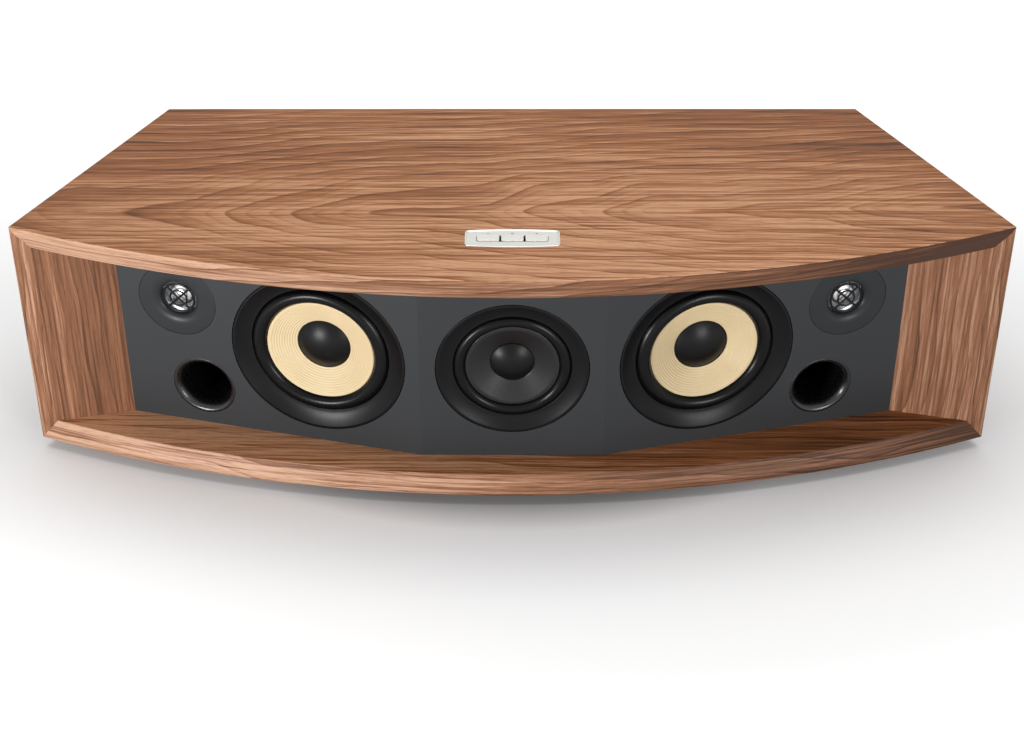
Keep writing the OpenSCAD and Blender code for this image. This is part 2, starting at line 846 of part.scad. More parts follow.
module front_baffle() {
    front = [[seam_x, y_baffle], baffle_end];
    back = [baffle_end_back, [seam_back_x, y_baffle_back]];
    right_half = concat(front, back);
    left_half = [for (i = [3:-1:0]) flip(right_half[i])];
    color(charcoal) difference() {
        translate([0, 0, z_shelf]) linear_extrude(inner_h) polygon(concat(right_half, left_half));
        on_middle_facet() mid_sizes() driver_cut();
        mirrored() {
            on_right_facet(woofer_offset, 0) woofer_sizes() driver_cut();
            on_right_facet(tweeter_offset, tweeter_rise) tweeter_cut();
            on_right_facet(port_offset, -port_drop) port_cut();
        }
    }
}

// Two walls behind the baffle's seams part the woofer chambers from the middle one
module chamber_walls() {
    outer_x = wall_x + wall_t;
    color(raw_board) translate([0, 0, z_shelf]) linear_extrude(inner_h) {
        mirrored() polygon([
            [wall_x, y_baffle_back],
            [seam_back_x, y_baffle_back],
            [outer_x, y_baffle_back + (outer_x - seam_back_x) * tan(facet_sweep)],
            [outer_x, y_rear_inside],
            [wall_x, y_rear_inside]
        ]);
        translate([-wall_x - wall_t / 2, y_cross]) square([2 * wall_x + wall_t, wall_t]);
    }
}

module rubber_feet() {
    near = side_point(-foot_margin, foot_margin);
    far = side_point(-foot_margin, side_l - foot_margin);
    color(rubber_black) mirrored() for (spot = [near, far])
        translate([spot[0], spot[1], 0]) rotate_extrude() polygon([
            [0, 0],
            [foot_r - foot_chamfer, 0],
            [foot_r, foot_chamfer],
            [foot_r, foot_h],
            [0, foot_h]
        ]);
}

module on_top() {
    translate([0, y_apex + control_setback, z_top]) children();
}

// The bezel's outline: long sides bulge in wide arcs and the ends have round corners
module bezel_outline(grow) {
    intersection() {
        translate([0, bezel_d / 2 - lens_r]) circle(lens_r + grow, $fn = arc_fn);
        translate([0, lens_r - bezel_d / 2]) circle(lens_r + grow, $fn = arc_fn);
        rounded_rect(bezel_w + 2 * grow, bezel_d + 2 * grow, bezel_corner_r + grow);
    }
}

module control_bezel() {
    slot_w = key_row_w + 2 * key_clearance;
    slot_d = key_d + 2 * key_clearance;
    color(silver) on_top() difference() {
        union() {
            translate([0, 0, -bezel_t]) linear_extrude(bezel_t) bezel_outline(0);
            linear_extrude(rim_h) difference() {
                bezel_outline(0);
                bezel_outline(-rim_w);
            }
            mirrored() translate([boss_x, 0, -bezel_t - boss_h]) cylinder(h = boss_h, r = boss_r, $fn = 48);
        }
        translate([0, 0, -bezel_t - past]) linear_extrude(bezel_t + 2 * past)
            rounded_rect(slot_w, slot_d, key_corner_r);
    }
}

module control_board() {
    board_w = pocket_w - 2 * past;
    board_l = pocket_l - 2 * past;
    color(board_green) on_top() translate([0, 0, -bezel_t - boss_h - pcb_t]) {
        block(board_w, board_l, pcb_t);
        for (i = [-1:1]) translate([i * key_pitch, 0, pcb_t]) block(switch_size, switch_size, switch_h);
    }
}

// A bar button with a retaining flange under the bezel and a stem over its switch
module key(i) {
    color(pale_plastic) on_top() translate([i * key_pitch, 0, -bezel_t]) {
        linear_extrude(bezel_t + key_rise) rounded_rect(key_w, key_d, key_corner_r);
        translate([0, 0, -key_flange_t]) block(key_w, key_d + 2 * key_flange_w, key_flange_t);
        translate([0, 0, -key_flange_t - stem_l]) cylinder(h = stem_l, r = stem_r, $fn = 48);
    }
}

module left_button() {
    key(-1);
}

module middle_button() {
    key(0);
}

module right_button() {
    key(1);
}

// The frame of the rear connections: x to the left, y up, z out of the back
module at_rear() {
    translate([0, y_rear, z_axis]) rotate([90, 0, 180]) children();
}

// A rectangle cut through the floor of the recess for a socket that stands on the main board
module socket_hole(x, w, h) {
    translate([x - w / 2 - socket_gap, board_y - socket_gap, z_floor_inside - past])
        cube([w + 2 * socket_gap, h + 2 * socket_gap, connector_t + 2 * past]);
}

module connector_panel() {
    rail_x = main_board_w / 2 - rail_w / 2;
    rail_l = main_board_l - rail_short;
    color(satin_black) at_rear() difference() {
        union() {
            linear_extrude(connector_t)
                rounded_rect(recess_w + 2 * connector_lip, recess_h + 2 * connector_lip, recess_corner_r);
            translate([0, 0, z_floor_inside]) linear_extrude(recess_d + connector_t)
                rounded_rect(recess_w, recess_h, recess_corner_r);
            mirrored() translate([rail_x, board_y - pcb_t - rail_h / 2, z_floor_inside - rail_l])
                block(rail_w, rail_h, rail_l);
        }
        translate([0, 0, z_floor_face]) linear_extrude(recess_d + connector_t + past)
            rounded_rect(recess_w - 2 * connector_t, recess_h - 2 * connector_t, recess_corner_r - connector_t);
        socket_hole(network_x, network_w, network_h);
        socket_hole(optical_x, optical_w, optical_h);
        socket_hole(jack_x, jack_w, jack_h);
        translate([0, -inlet_drop, z_floor_inside - past])
            block(inlet_w + 2 * socket_gap, inlet_h + 2 * socket_gap, connector_t + 2 * past);
    }
}

// An appliance inlet: a flanged cup with three flat pins
module mains_inlet() {
    pin_w = 2;
    pin_d = 4;
    pin_l = 14;
    line_x = 7;
    line_y = -2;
    earth_y = 3;
    cup_l = inlet_l - inlet_floor;
    face = z_floor_face + inlet_flange;
    color(dark_plastic) at_rear() translate([0, -inlet_drop, face]) {
        difference() {
            union() {
                translate([0, 0, -inlet_flange])
                    block(inlet_w + 2 * inlet_flange_w, inlet_h + 2 * inlet_flange_w, inlet_flange);
                translate([0, 0, -inlet_l]) block(inlet_w, inlet_h, inlet_l);
            }
            translate([0, 0, -cup_l]) block(inlet_w - 2 * inlet_wall, inlet_h - 2 * inlet_wall, cup_l + past);
        }
        for (spot = [[-line_x, line_y], [line_x, line_y], [0, earth_y]])
            translate([spot[0], spot[1], -cup_l]) block(pin_w, pin_d, pin_l);
    }
}

module board_socket(x, w, h, l) {
    translate([x - w / 2, board_y, z_floor_face - l]) cube([w, h, l]);
}

module network_socket() {
    mouth_w = 11.8;
    mouth_h = 8;
    mouth_l = 15;
    sill = 3;
    color(steel) at_rear() difference() {
        board_socket(network_x, network_w, network_h, network_l);
        translate([network_x - mouth_w / 2, board_y + sill, z_floor_face - mouth_l])
            cube([mouth_w, mouth_h, mouth_l + past]);
    }
}

module audio_sockets() {
    mouth = 6;
    mouth_l = 9;
    color(dark_plastic) at_rear() {
        difference() {
            board_socket(optical_x, optical_w, optical_h, optical_l);
            translate([optical_x, board_y + optical_h / 2, z_floor_face - mouth_l])
                block(mouth, mouth, mouth_l + past);
        }
        difference() {
            board_socket(jack_x, jack_w, jack_h, jack_l);
            translate([jack_x, board_y + jack_h / 2, z_floor_face - mouth_l])
                cylinder(h = mouth_l + past, r = jack_bore_r, $fn = 48);
        }
    }
}

// The frame of the main board: x to the left, y away from the back, z up from the board
module on_main_board() {
    at_rear() translate([0, board_y, z_floor_inside - bore_gap]) rotate([-90, 0, 0]) children();
}

module main_board() {
    capacitor_r = 5;
    capacitor_h = 16;
    capacitor_margin = 9;
    capacitor_y = chip_y + 26;
    color(board_green) on_main_board() {
        translate([0, main_board_l / 2, -pcb_t]) block(main_board_w, main_board_l, pcb_t);
        for (x = [-chip_w, chip_w]) translate([x, chip_y, 0]) block(chip_w, chip_w, chip_h);
        for (x = [-1, 1]) translate([x * (main_board_w / 2 - capacitor_margin), capacitor_y, 0])
            cylinder(h = capacitor_h, r = capacitor_r);
    }
}

module heat_sink() {
    base_w = 56;
    base_l = 36;
    base_t = 4;
    fin_t = 1.6;
    fin_pitch = (base_w - fin_t) / (fin_count - 1);
    color(silver) on_main_board() translate([0, chip_y, chip_h]) {
        block(base_w, base_l, base_t);
        for (i = [0:fin_count - 1])
            translate([-base_w / 2 + i * fin_pitch, -base_l / 2, 0]) cube([fin_t, base_l, base_t + fin_h]);
    }
}

// A radio board with a small shield, on its header beside the heat sink
module wireless_module() {
    header = [20, 3, 5];
    radio = [32, 14, 1];
    shield = [20, 10, 2.5];
    radio_y = chip_y + 28;
    color(shield_grey) on_main_board() translate([0, radio_y, 0]) {
        block(header[0], header[1], header[2]);
        translate([0, 0, header[2]]) block(radio[0], radio[1], radio[2]);
        translate([0, 0, header[2] + radio[2]]) block(shield[0], shield[1], shield[2]);
    }
}

// The supply's board on spacers, with its transformer, filter and two capacitors
module power_supply_board() {
    centre_y = (y_cross + wall_t + y_rear_inside) / 2;
    spacer_inset = 6;
    spacer_r = 3;
    transformer = [38, 32, 26];
    transformer_spot = [-24, -10];
    filter = [30, 14, 12];
    filter_spot = [28, 16];
    capacitor_r = 9;
    capacitor_h = 28;
    capacitor_spots = [[18, -14], [40, -14]];
    color(board_green) translate([0, centre_y, z_shelf]) {
        for (x = [-1, 1], y = [-1, 1])
            translate([x * (supply_board_w / 2 - spacer_inset), y * (supply_board_l / 2 - spacer_inset), 0])
                cylinder(h = spacer_h, r = spacer_r);
        translate([0, 0, spacer_h]) block(supply_board_w, supply_board_l, pcb_t);
        translate([0, 0, spacer_h + pcb_t]) {
            translate(transformer_spot) block(transformer[0], transformer[1], transformer[2]);
            translate(filter_spot) block(filter[0], filter[1], filter[2]);
            for (spot = capacitor_spots) translate(spot) cylinder(h = capacitor_h, r = capacitor_r);
        }
    }
}

module left_woofer_trim() {
    on_left_facet(woofer_offset, 0) woofer_sizes() driver_trim();
}

module left_woofer_basket() {
    on_left_facet(woofer_offset, 0) woofer_sizes() driver_basket();
}

module left_woofer_magnet() {
    on_left_facet(woofer_offset, 0) woofer_sizes() driver_magnet();
}

module left_woofer_motor() {
    on_left_facet(woofer_offset, 0) woofer_sizes() driver_motor();
}

module left_woofer_spider() {
    on_left_facet(woofer_offset, 0) woofer_sizes() driver_spider();
}

module left_woofer_surround() {
    on_left_facet(woofer_offset, 0) woofer_sizes() driver_surround();
}

module left_woofer_cone() {
    on_left_facet(woofer_offset, 0) woofer_sizes() driver_cone(cream);
}

module left_woofer_dust_cap() {
    on_left_facet(woofer_offset, 0) woofer_sizes() driver_dust_cap();
}

module left_woofer_voice_coil() {
    on_left_facet(woofer_offset, 0) woofer_sizes() driver_voice_coil();
}

module right_woofer_trim() {
    on_right_facet(woofer_offset, 0) woofer_sizes() driver_trim();
}

module right_woofer_basket() {
    on_right_facet(woofer_offset, 0) woofer_sizes() driver_basket();
}

module right_woofer_magnet() {
    on_right_facet(woofer_offset, 0) woofer_sizes() driver_magnet();
}

module right_woofer_motor() {
    on_right_facet(woofer_offset, 0) woofer_sizes() driver_motor();
}

module right_woofer_spider() {
    on_right_facet(woofer_offset, 0) woofer_sizes() driver_spider();
}

module right_woofer_surround() {
    on_right_facet(woofer_offset, 0) woofer_sizes() driver_surround();
}

module right_woofer_cone() {
    on_right_facet(woofer_offset, 0) woofer_sizes() driver_cone(cream);
}

module right_woofer_dust_cap() {
    on_right_facet(woofer_offset, 0) woofer_sizes() driver_dust_cap();
}

module right_woofer_voice_coil() {
    on_right_facet(woofer_offset, 0) woofer_sizes() driver_voice_coil();
}

module midrange_trim() {
    on_middle_facet() mid_sizes() driver_trim();
}

module midrange_basket() {
    on_middle_facet() mid_sizes() driver_basket();
}

module midrange_magnet() {
    on_middle_facet() mid_sizes() driver_magnet();
}

module midrange_motor() {
    on_middle_facet() mid_sizes() driver_motor();
}

module midrange_spider() {
    on_middle_facet() mid_sizes() driver_spider();
}

module midrange_surround() {
    on_middle_facet() mid_sizes() driver_surround();
}

module midrange_cone() {
    on_middle_facet() mid_sizes() driver_cone(charcoal);
}

module midrange_dust_cap() {
    on_middle_facet() mid_sizes() driver_dust_cap();
}

module midrange_voice_coil() {
    on_middle_facet() mid_sizes() driver_voice_coil();
}

module left_tweeter_faceplate() {
    on_left_facet(tweeter_offset, tweeter_rise) tweeter_faceplate();
}

module left_tweeter_guard() {
    on_left_facet(tweeter_offset, tweeter_rise) tweeter_guard();
}

module left_tweeter_dome() {
    on_left_facet(tweeter_offset, tweeter_rise) tweeter_dome();
}

module left_tweeter_motor() {
    on_left_facet(tweeter_offset, tweeter_rise) tweeter_motor();
}

module right_tweeter_faceplate() {
    on_right_facet(tweeter_offset, tweeter_rise) tweeter_faceplate();
}

module right_tweeter_guard() {
    on_right_facet(tweeter_offset, tweeter_rise) tweeter_guard();
}

module right_tweeter_dome() {
    on_right_facet(tweeter_offset, tweeter_rise) tweeter_dome();
}

module right_tweeter_motor() {
    on_right_facet(tweeter_offset, tweeter_rise) tweeter_motor();
}

module left_port() {
    on_left_facet(port_offset, -port_drop) port_tube();
}

module right_port() {
    on_right_facet(port_offset, -port_drop) port_tube();
}

top_panel();
bottom_panel();
left_side_panel();
right_side_panel();
rear_panel();
left_cheek();
right_cheek();
front_baffle();
chamber_walls();
rubber_feet();
control_bezel();
control_board();
left_button();
middle_button();
right_button();
connector_panel();
mains_inlet();
network_socket();
audio_sockets();
main_board();
power_supply_board();
heat_sink();
wireless_module();
left_woofer_trim();
left_woofer_basket();
left_woofer_magnet();
left_woofer_motor();
left_woofer_spider();
left_woofer_surround();
left_woofer_cone();
left_woofer_dust_cap();
left_woofer_voice_coil();
right_woofer_trim();
right_woofer_basket();
right_woofer_magnet();
right_woofer_motor();
right_woofer_spider();
right_woofer_surround();
right_woofer_cone();
right_woofer_dust_cap();
right_woofer_voice_coil();
midrange_trim();
midrange_basket();
midrange_magnet();
midrange_motor();
midrange_spider();
midrange_surround();
midrange_cone();
midrange_dust_cap();
midrange_voice_coil();
left_tweeter_faceplate();
left_tweeter_guard();
left_tweeter_dome();
left_tweeter_motor();
right_tweeter_faceplate();
right_tweeter_guard();
right_tweeter_dome();
right_tweeter_motor();
left_port();
right_port();
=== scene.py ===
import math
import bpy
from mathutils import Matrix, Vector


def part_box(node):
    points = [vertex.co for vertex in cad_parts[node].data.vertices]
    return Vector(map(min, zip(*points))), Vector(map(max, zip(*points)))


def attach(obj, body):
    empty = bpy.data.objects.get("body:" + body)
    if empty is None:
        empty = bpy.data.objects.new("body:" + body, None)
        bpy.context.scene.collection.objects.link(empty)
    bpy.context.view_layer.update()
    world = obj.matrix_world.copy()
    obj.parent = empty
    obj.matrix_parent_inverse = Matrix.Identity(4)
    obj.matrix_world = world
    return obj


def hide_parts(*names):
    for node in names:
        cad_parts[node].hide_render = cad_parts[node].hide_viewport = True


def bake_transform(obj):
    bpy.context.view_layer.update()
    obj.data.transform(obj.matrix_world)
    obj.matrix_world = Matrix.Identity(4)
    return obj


bl_info = {
    "name": "Wireless stereo speaker",
    "version": (1, 0, 0),
    "blender": (4, 5, 0),
    "location": "View3D > Sidebar > Speaker",
    "description": "Dresses the packed speaker in veneer, paint, rubber and metal, and sets up its stage",
    "category": "Add Mesh",
}

import bpy
import numpy as np
from bpy.props import FloatProperty, FloatVectorProperty, IntProperty, PointerProperty

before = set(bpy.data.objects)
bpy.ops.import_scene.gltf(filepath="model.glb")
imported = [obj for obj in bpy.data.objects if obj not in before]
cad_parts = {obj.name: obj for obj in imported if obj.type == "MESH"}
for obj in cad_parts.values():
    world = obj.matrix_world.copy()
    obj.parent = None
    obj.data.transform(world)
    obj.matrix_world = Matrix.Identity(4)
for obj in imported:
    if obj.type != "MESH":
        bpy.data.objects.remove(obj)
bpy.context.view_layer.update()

# The cabinet, in metres, as the part's source has it
PANEL_LOW, PANEL_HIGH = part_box("top_panel")
HALF_W = PANEL_HIGH.x
Y_FRONT = PANEL_LOW.y
Y_BACK = PANEL_HIGH.y
Z_CEILING = PANEL_LOW.z
Z_TOP = PANEL_HIGH.z
Z_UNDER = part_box("bottom_panel")[0].z
PANEL_T = Z_TOP - Z_CEILING
FRONT_BULGE = 0.079
BACK_HALF_W = 0.296
SIDE_T = 0.014
EDGE_BAND = 0.005
SIDE_BAND = EDGE_BAND * SIDE_T / PANEL_T
BEVEL_DEPTH = 0.0047
Y_CORNER = Y_FRONT + FRONT_BULGE
ARC_R = (HALF_W ** 2 + FRONT_BULGE ** 2) / (2 * FRONT_BULGE)
ARC_Y = Y_FRONT + ARC_R
SIDE_ANGLE = math.atan((HALF_W - BACK_HALF_W) / (Y_BACK - Y_CORNER))
Y_REAR = 0.134

# The faceted baffle and what is let into it
SWEEP = math.radians(14.2)
SEAM_X = 0.074
Y_BAFFLE = -0.107
Z_AXIS = 0.113
TRIM_T = 0.0015
ROLL_T = 0.001
LIP_W = 0.003
CONE_T = 0.0008
FORMER_T = 0.0004
LAND_W = 0.0018
LIP_ROUND = 0.0007
BAR_TIP = 0.55
WOOFER = {
    "offset": 0.0845, "trim_r": 0.0724, "roll_r": 0.0576, "cone_r": 0.045, "dish": 0.0058,
    "cap_r": 0.0218, "cap_drop": 0.016, "cap_h": 0.007, "coil_r": 0.013,
}
MIDRANGE = {
    "offset": 0.0, "trim_r": 0.0611, "roll_r": 0.0473, "cone_r": 0.0375, "dish": 0.0043,
    "cap_r": 0.0173, "cap_drop": 0.011, "cap_h": 0.0055, "coil_r": 0.010,
}
DRIVERS = (("left_woofer", -1, WOOFER), ("midrange", 0, MIDRANGE), ("right_woofer", 1, WOOFER))
SIDES = (("left", -1), ("right", 1))
TWEETER_OFFSET, TWEETER_RISE = 0.2015, 0.0336
PORT_OFFSET, PORT_DROP = 0.1855, 0.0478

# The control panel
CONTROL_Y = Y_FRONT + 0.0617
BEZEL_W, BEZEL_D, BEZEL_T, BEZEL_BULGE, BEZEL_CORNER = 0.074, 0.0265, 0.0025, 0.002, 0.006
RIM_W, RIM_H, RIM_GAP = 0.0013, 0.0007, 0.0003
MARK_Y = CONTROL_Y + 0.0073
POCKET_W, POCKET_L, POCKET_DEPTH, POCKET_CORNER = 0.0704, 0.0196, 0.012, 0.0005
KEY_W, KEY_D, KEY_CORNER = 0.0173, 0.0086, 0.0015
KEY_GAP, KEY_RISE, KEY_PLAY = 0.0016, 0.0011, 0.0003


def length(name, description, default):
    return FloatProperty(name=name, description=description, default=default, unit="LENGTH")


def whole_number(name, description, default, low, high):
    return IntProperty(name=name, description=description, default=default, min=low, max=high)


def colour(name, description, default):
    return FloatVectorProperty(name=name, description=description, default=default, subtype="COLOR", size=3)


class SpeakerSizes(bpy.types.PropertyGroup):
    """Sizes of the fine shapes that the scene adds to the solids."""
    arris: length("Arris", "Radius of the cabinet's eased edges", 0.0008)
    rib_pitch: length("Rib pitch", "Distance between two ribs of a woofer cone", 0.0019)
    rib_height: length("Rib height", "Height of the ribs of a woofer cone", 0.00034)
    port_depth: length("Port flare depth", "How deep the flare of a port's mouth reaches", 0.011)
    roll_sectors: whole_number("Roll sectors", "Pieces that a rubber roll is made of", 12, 8, 24)
    turning_steps: whole_number("Turning steps", "Steps round a turned piece", 144, 48, 288)


class SpeakerFinish(bpy.types.PropertyGroup):
    """Colours of the speaker's finishes."""
    veneer_light: colour("Veneer light", "Palest tone of the walnut", (0.64, 0.340, 0.190))
    veneer_middle: colour("Veneer middle", "Main tone of the walnut", (0.325, 0.123, 0.046))
    veneer_dark: colour("Veneer dark", "Darkest streaks of the walnut", (0.080, 0.030, 0.013))
    baffle: colour("Baffle", "Charcoal paint of the baffle", (0.036, 0.038, 0.041))
    trim: colour("Trim rings", "Satin black of the rings round the drivers", (0.0035, 0.0035, 0.004))
    woofer_cone: colour("Woofer cones", "Cream of the ribbed cones", (0.76, 0.61, 0.38))
    metal: colour("Control panel", "Satin metal of the bezel", (0.66, 0.66, 0.62))


def sizes():
    return bpy.context.scene.speaker_sizes


def finish():
    return bpy.context.scene.speaker_finish


def spot_on_baffle(side, offset=0.0, rise=0.0):
    """Centre, across, up and out of a spot on the left facet, side -1, the middle one, 0, or the right, 1."""
    lean = SWEEP if side else 0.0
    out = np.array([side * math.sin(lean), -math.cos(lean), 0.0])
    up = np.array([0.0, 0.0, 1.0])
    centre = np.array([
        side * (SEAM_X + offset * math.cos(lean)), Y_BAFFLE + offset * math.sin(lean), Z_AXIS + rise])
    return centre, np.cross(up, out), up, out


def turned(profile, spot, steps=144, span=(0.0, 2 * math.pi), sharp=32.0):
    """A profile of radius and height turned about a spot's axis.

    A point is centre + radius (across cos t + up sin t) + height out. The profile runs anticlockwise with
    the radius to the right: a loop that closes on itself, or a line from the axis to the axis. A part turn
    is closed by its two end faces. Returns points, faces and the normals at the faces' corners.
    """
    centre, across, up, out = spot
    profile = np.asarray(profile, float)
    looped = profile[0, 0] > 0
    whole = abs(span[1] - span[0] - 2 * math.pi) < 1e-9
    angles = np.linspace(span[0], span[1], steps + 1)
    if whole:
        angles = angles[:-1]
    radial = np.cos(angles)[:, None] * across + np.sin(angles)[:, None] * up
    chain = np.vstack([profile, profile[:1]]) if looped else profile
    step = np.diff(chain, axis=0)
    slope = np.stack([step[:, 1], -step[:, 0]], 1) / np.maximum(np.hypot(*step.T), 1e-12)[:, None]
    joint_before = np.roll(slope, 1, 0)
    joint_after = np.roll(slope, -1, 0)
    limit = math.cos(math.radians(sharp))

    def eased(one, other):
        near = (one * other).sum(1) > limit
        both = one + other
        both /= np.maximum(np.hypot(*both.T), 1e-12)[:, None]
        return np.where(near[:, None], both, one)

    first, last = eased(slope, joint_before), eased(slope, joint_after)
    if not looped:
        first[0] = (0.0, np.sign(slope[0, 1]))
        last[-1] = (0.0, np.sign(slope[-1, 1]))
    rows = len(angles)
    inner = profile if looped else profile[1:-1]
    width = len(inner)
    points = (centre + radial[:, None, :] * inner[None, :, :1] + out * inner[None, :, 1:]).reshape(-1, 3)
    row = np.arange(rows if whole else rows - 1)
    next_row = (row + 1) % rows
    column = np.arange(width if looped else width - 1)
    next_column = (column + 1) % width
    quads = np.stack([
        row[:, None] * width + column, next_row[:, None] * width + column,
        next_row[:, None] * width + next_column, row[:, None] * width + next_column], -1).reshape(-1, 4)
    segment = column if looped else column + 1

    def corners(*terms):
        """Normals at the faces' corners: each term is a corner's rows of the turn and normals in section."""
        return np.stack([
            flat[..., :1] * radial[turn_rows][:, None, :] + flat[..., 1:] * out
            for turn_rows, flat in terms], 2).reshape(-1, 3)

    faces = quads.tolist()
    normals = [corners(
        (row, first[None, segment]), (next_row, first[None, segment]),
        (next_row, last[None, segment]), (row, last[None, segment]))]
    if not looped:
        poles = np.stack([centre + out * profile[0, 1], centre + out * profile[-1, 1]])
        start, end = len(points), len(points) + 1
        points = np.vstack([points, poles])
        tail = width - 1
        faces += np.stack([np.full_like(row, start), next_row * width, row * width], 1).tolist()
        faces += np.stack([row * width + tail, next_row * width + tail, np.full_like(row, end)], 1).tolist()
        normals += [
            corners((row, first[None, :1]), (next_row, last[None, :1]), (row, last[None, :1])),
            corners((row, first[None, -1:]), (next_row, first[None, -1:]), (row, last[None, -1:]))]
    elif not whole:
        faces.append(list(range(width)))
        faces.append(list(range((rows - 1) * width + width - 1, (rows - 1) * width - 1, -1)))
        ends = np.stack([np.cross(radial[0], out), -np.cross(radial[-1], out)])
        normals.append(np.repeat(ends, width, 0))
    return points, faces, np.vstack(normals)


def ring_of_rows(rows, closed_ends=True, flip=False):
    """Faces of closed rows of points, each row joined to the next one, and the two end rows capped."""
    count, width = rows.shape[:2]
    row = np.arange(count - 1)[:, None]
    column = np.arange(width)[None, :]
    after = (column + 1) % width
    quads = np.stack([
        row * width + column, (row + 1) * width + column,
        (row + 1) * width + after, row * width + after], -1).reshape(-1, 4)
    faces = quads.tolist()
    if closed_ends:
        faces.append(list(range(width)))
        faces.append(list(range(count * width - 1, (count - 1) * width - 1, -1)))
    if flip:
        faces = [face[::-1] for face in faces]
    return faces


def swept_bar(path, width, height, side, out, steps=12):
    """A flat oval carried along a path, in the directions side and out.

    It shrinks to a blunt point over the first and last step, and side may differ from point to point.
    """
    angles = full_turn(steps)
    path = np.asarray(path, float)
    side = np.broadcast_to(side, path.shape)
    size = np.ones(len(path))
    size[[0, -1]] = BAR_TIP
    rows = path[:, None, :] + size[:, None, None] * (
        side[:, None, :] * (width / 2 * np.cos(angles))[None, :, None]
        + np.asarray(out) * (height / 2 * np.sin(angles))[None, :, None])
    run = path[-1] - path[0]
    flip = np.dot(np.cross(run, side[0]), np.asarray(out)) > 0
    return rows.reshape(-1, 3), ring_of_rows(rows, flip=not flip)


def gathered(parts):
    """Points and faces of several closed surfaces as one piece."""
    points, faces, count = [], [], 0
    for some_points, some_faces in parts:
        points.append(np.asarray(some_points))
        faces += [[index + count for index in face] for face in some_faces]
        count += len(some_points)
    return np.vstack(points), faces


def placed(name, data):
    """A new object that shows the data, in the scene."""
    new = bpy.data.objects.new(name, data)
    bpy.context.scene.collection.objects.link(new)
    return new


def add_piece(name, points, faces, material, body, stands_for=(), normals=None, sharp=28.0,
              grain=None):
    """Makes a mesh at the origin, gives it its finish and lets it ride on a body."""
    mesh = bpy.data.meshes.new(name)
    mesh.from_pydata(np.asarray(points).tolist(), [], faces)
    mesh.update()
    mesh.shade_smooth()
    if grain is not None:
        attribute = mesh.attributes.new("grain", "FLOAT_VECTOR", "CORNER")
        attribute.data.foreach_set("vector", np.asarray(grain, np.float32).ravel())
    if normals is None:
        mesh.set_sharp_from_angle(angle=math.radians(sharp))
    else:
        mesh.normals_split_custom_set(np.asarray(normals).tolist())
    mesh.materials.append(material)
    piece = placed(name, mesh)
    if body:
        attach(piece, body)
    if stands_for:
        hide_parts(*stands_for)
    return piece


def turned_piece(name, profile, spot, material, body, stands_for=(), sharp=32.0):
    """A piece turned all the way round."""
    points, faces, normals = turned(profile, spot, sizes().turning_steps, sharp=sharp)
    return add_piece(name, points, faces, material, body, stands_for, normals=normals)


def quarter(count=7):
    """Angles of a quarter round."""
    return np.linspace(0, math.pi / 2, count)


def full_turn(count):
    """Angles of a whole turn, the last one a step short of the first."""
    return np.linspace(0, 2 * math.pi, count, endpoint=False)


def eased_edge(radius, edge, turn, top=0.0):
    """Section of an outer edge eased by a quarter round, from the wall up to a face at height top."""
    return np.stack([radius - edge * (1 - np.cos(turn)), top - edge + edge * np.sin(turn)], 1)


def flared(bore, mouth, depth, turn):
    """Section of an elliptic flare from the mouth down into the bore."""
    return np.stack([bore + (mouth - bore) * (1 - np.sin(turn)), -depth * (1 - np.cos(turn))], 1)


def ball_arc(radius, centre, turn):
    """Section of a ball whose centre is on the axis, at angles from the axis."""
    return np.stack([radius * np.sin(turn), centre + radius * np.cos(turn)], 1)


def oval(r, h, half_width, half_height, turn):
    """Section of an oval about a point."""
    return np.stack([r + half_width * np.cos(turn), h + half_height * np.sin(turn)], 1)


def tint(code):
    """A colour written as it looks, such as c59370, in linear light."""
    parts = np.array([int(code[i:i + 2], 16) for i in (0, 2, 4)]) / 255
    linear = np.where(parts <= 0.04045, parts / 12.92, ((parts + 0.055) / 1.055) ** 2.4)
    return (*linear.tolist(), 1.0)


class Nodes:
    """A node tree being built: most methods add a node and return the socket that it makes."""

    def __init__(self, owner):
        owner.use_nodes = True
        self.tree = owner.node_tree
        self.tree.nodes.clear()

    def put(self, source, socket):
        if isinstance(source, bpy.types.NodeSocket):
            self.tree.links.new(source, socket)
        else:
            socket.default_value = source

    def add(self, kind, **sources):
        """A node whose named inputs are set or linked. A name has _ where the input has a space."""
        node = self.tree.nodes.new("ShaderNode" + kind)
        for name, source in sources.items():
            self.put(source, node.inputs[name.replace("_", " ")])
        return node

    def math(self, operation, *operands, clamp=False):
        node = self.add("Math")
        node.operation = operation
        node.use_clamp = clamp
        for socket, operand in zip(node.inputs, operands):
            self.put(operand, socket)
        return node.outputs[0]

    def seen(self):
        """1 for a ray from the camera, off a glossy surface or through glass, and 0 for the others."""
        ray = self.add("LightPath").outputs
        seen = self.math("MAXIMUM", ray["Is Camera Ray"], ray["Is Glossy Ray"])
        return self.math("MAXIMUM", seen, ray["Is Transmission Ray"])


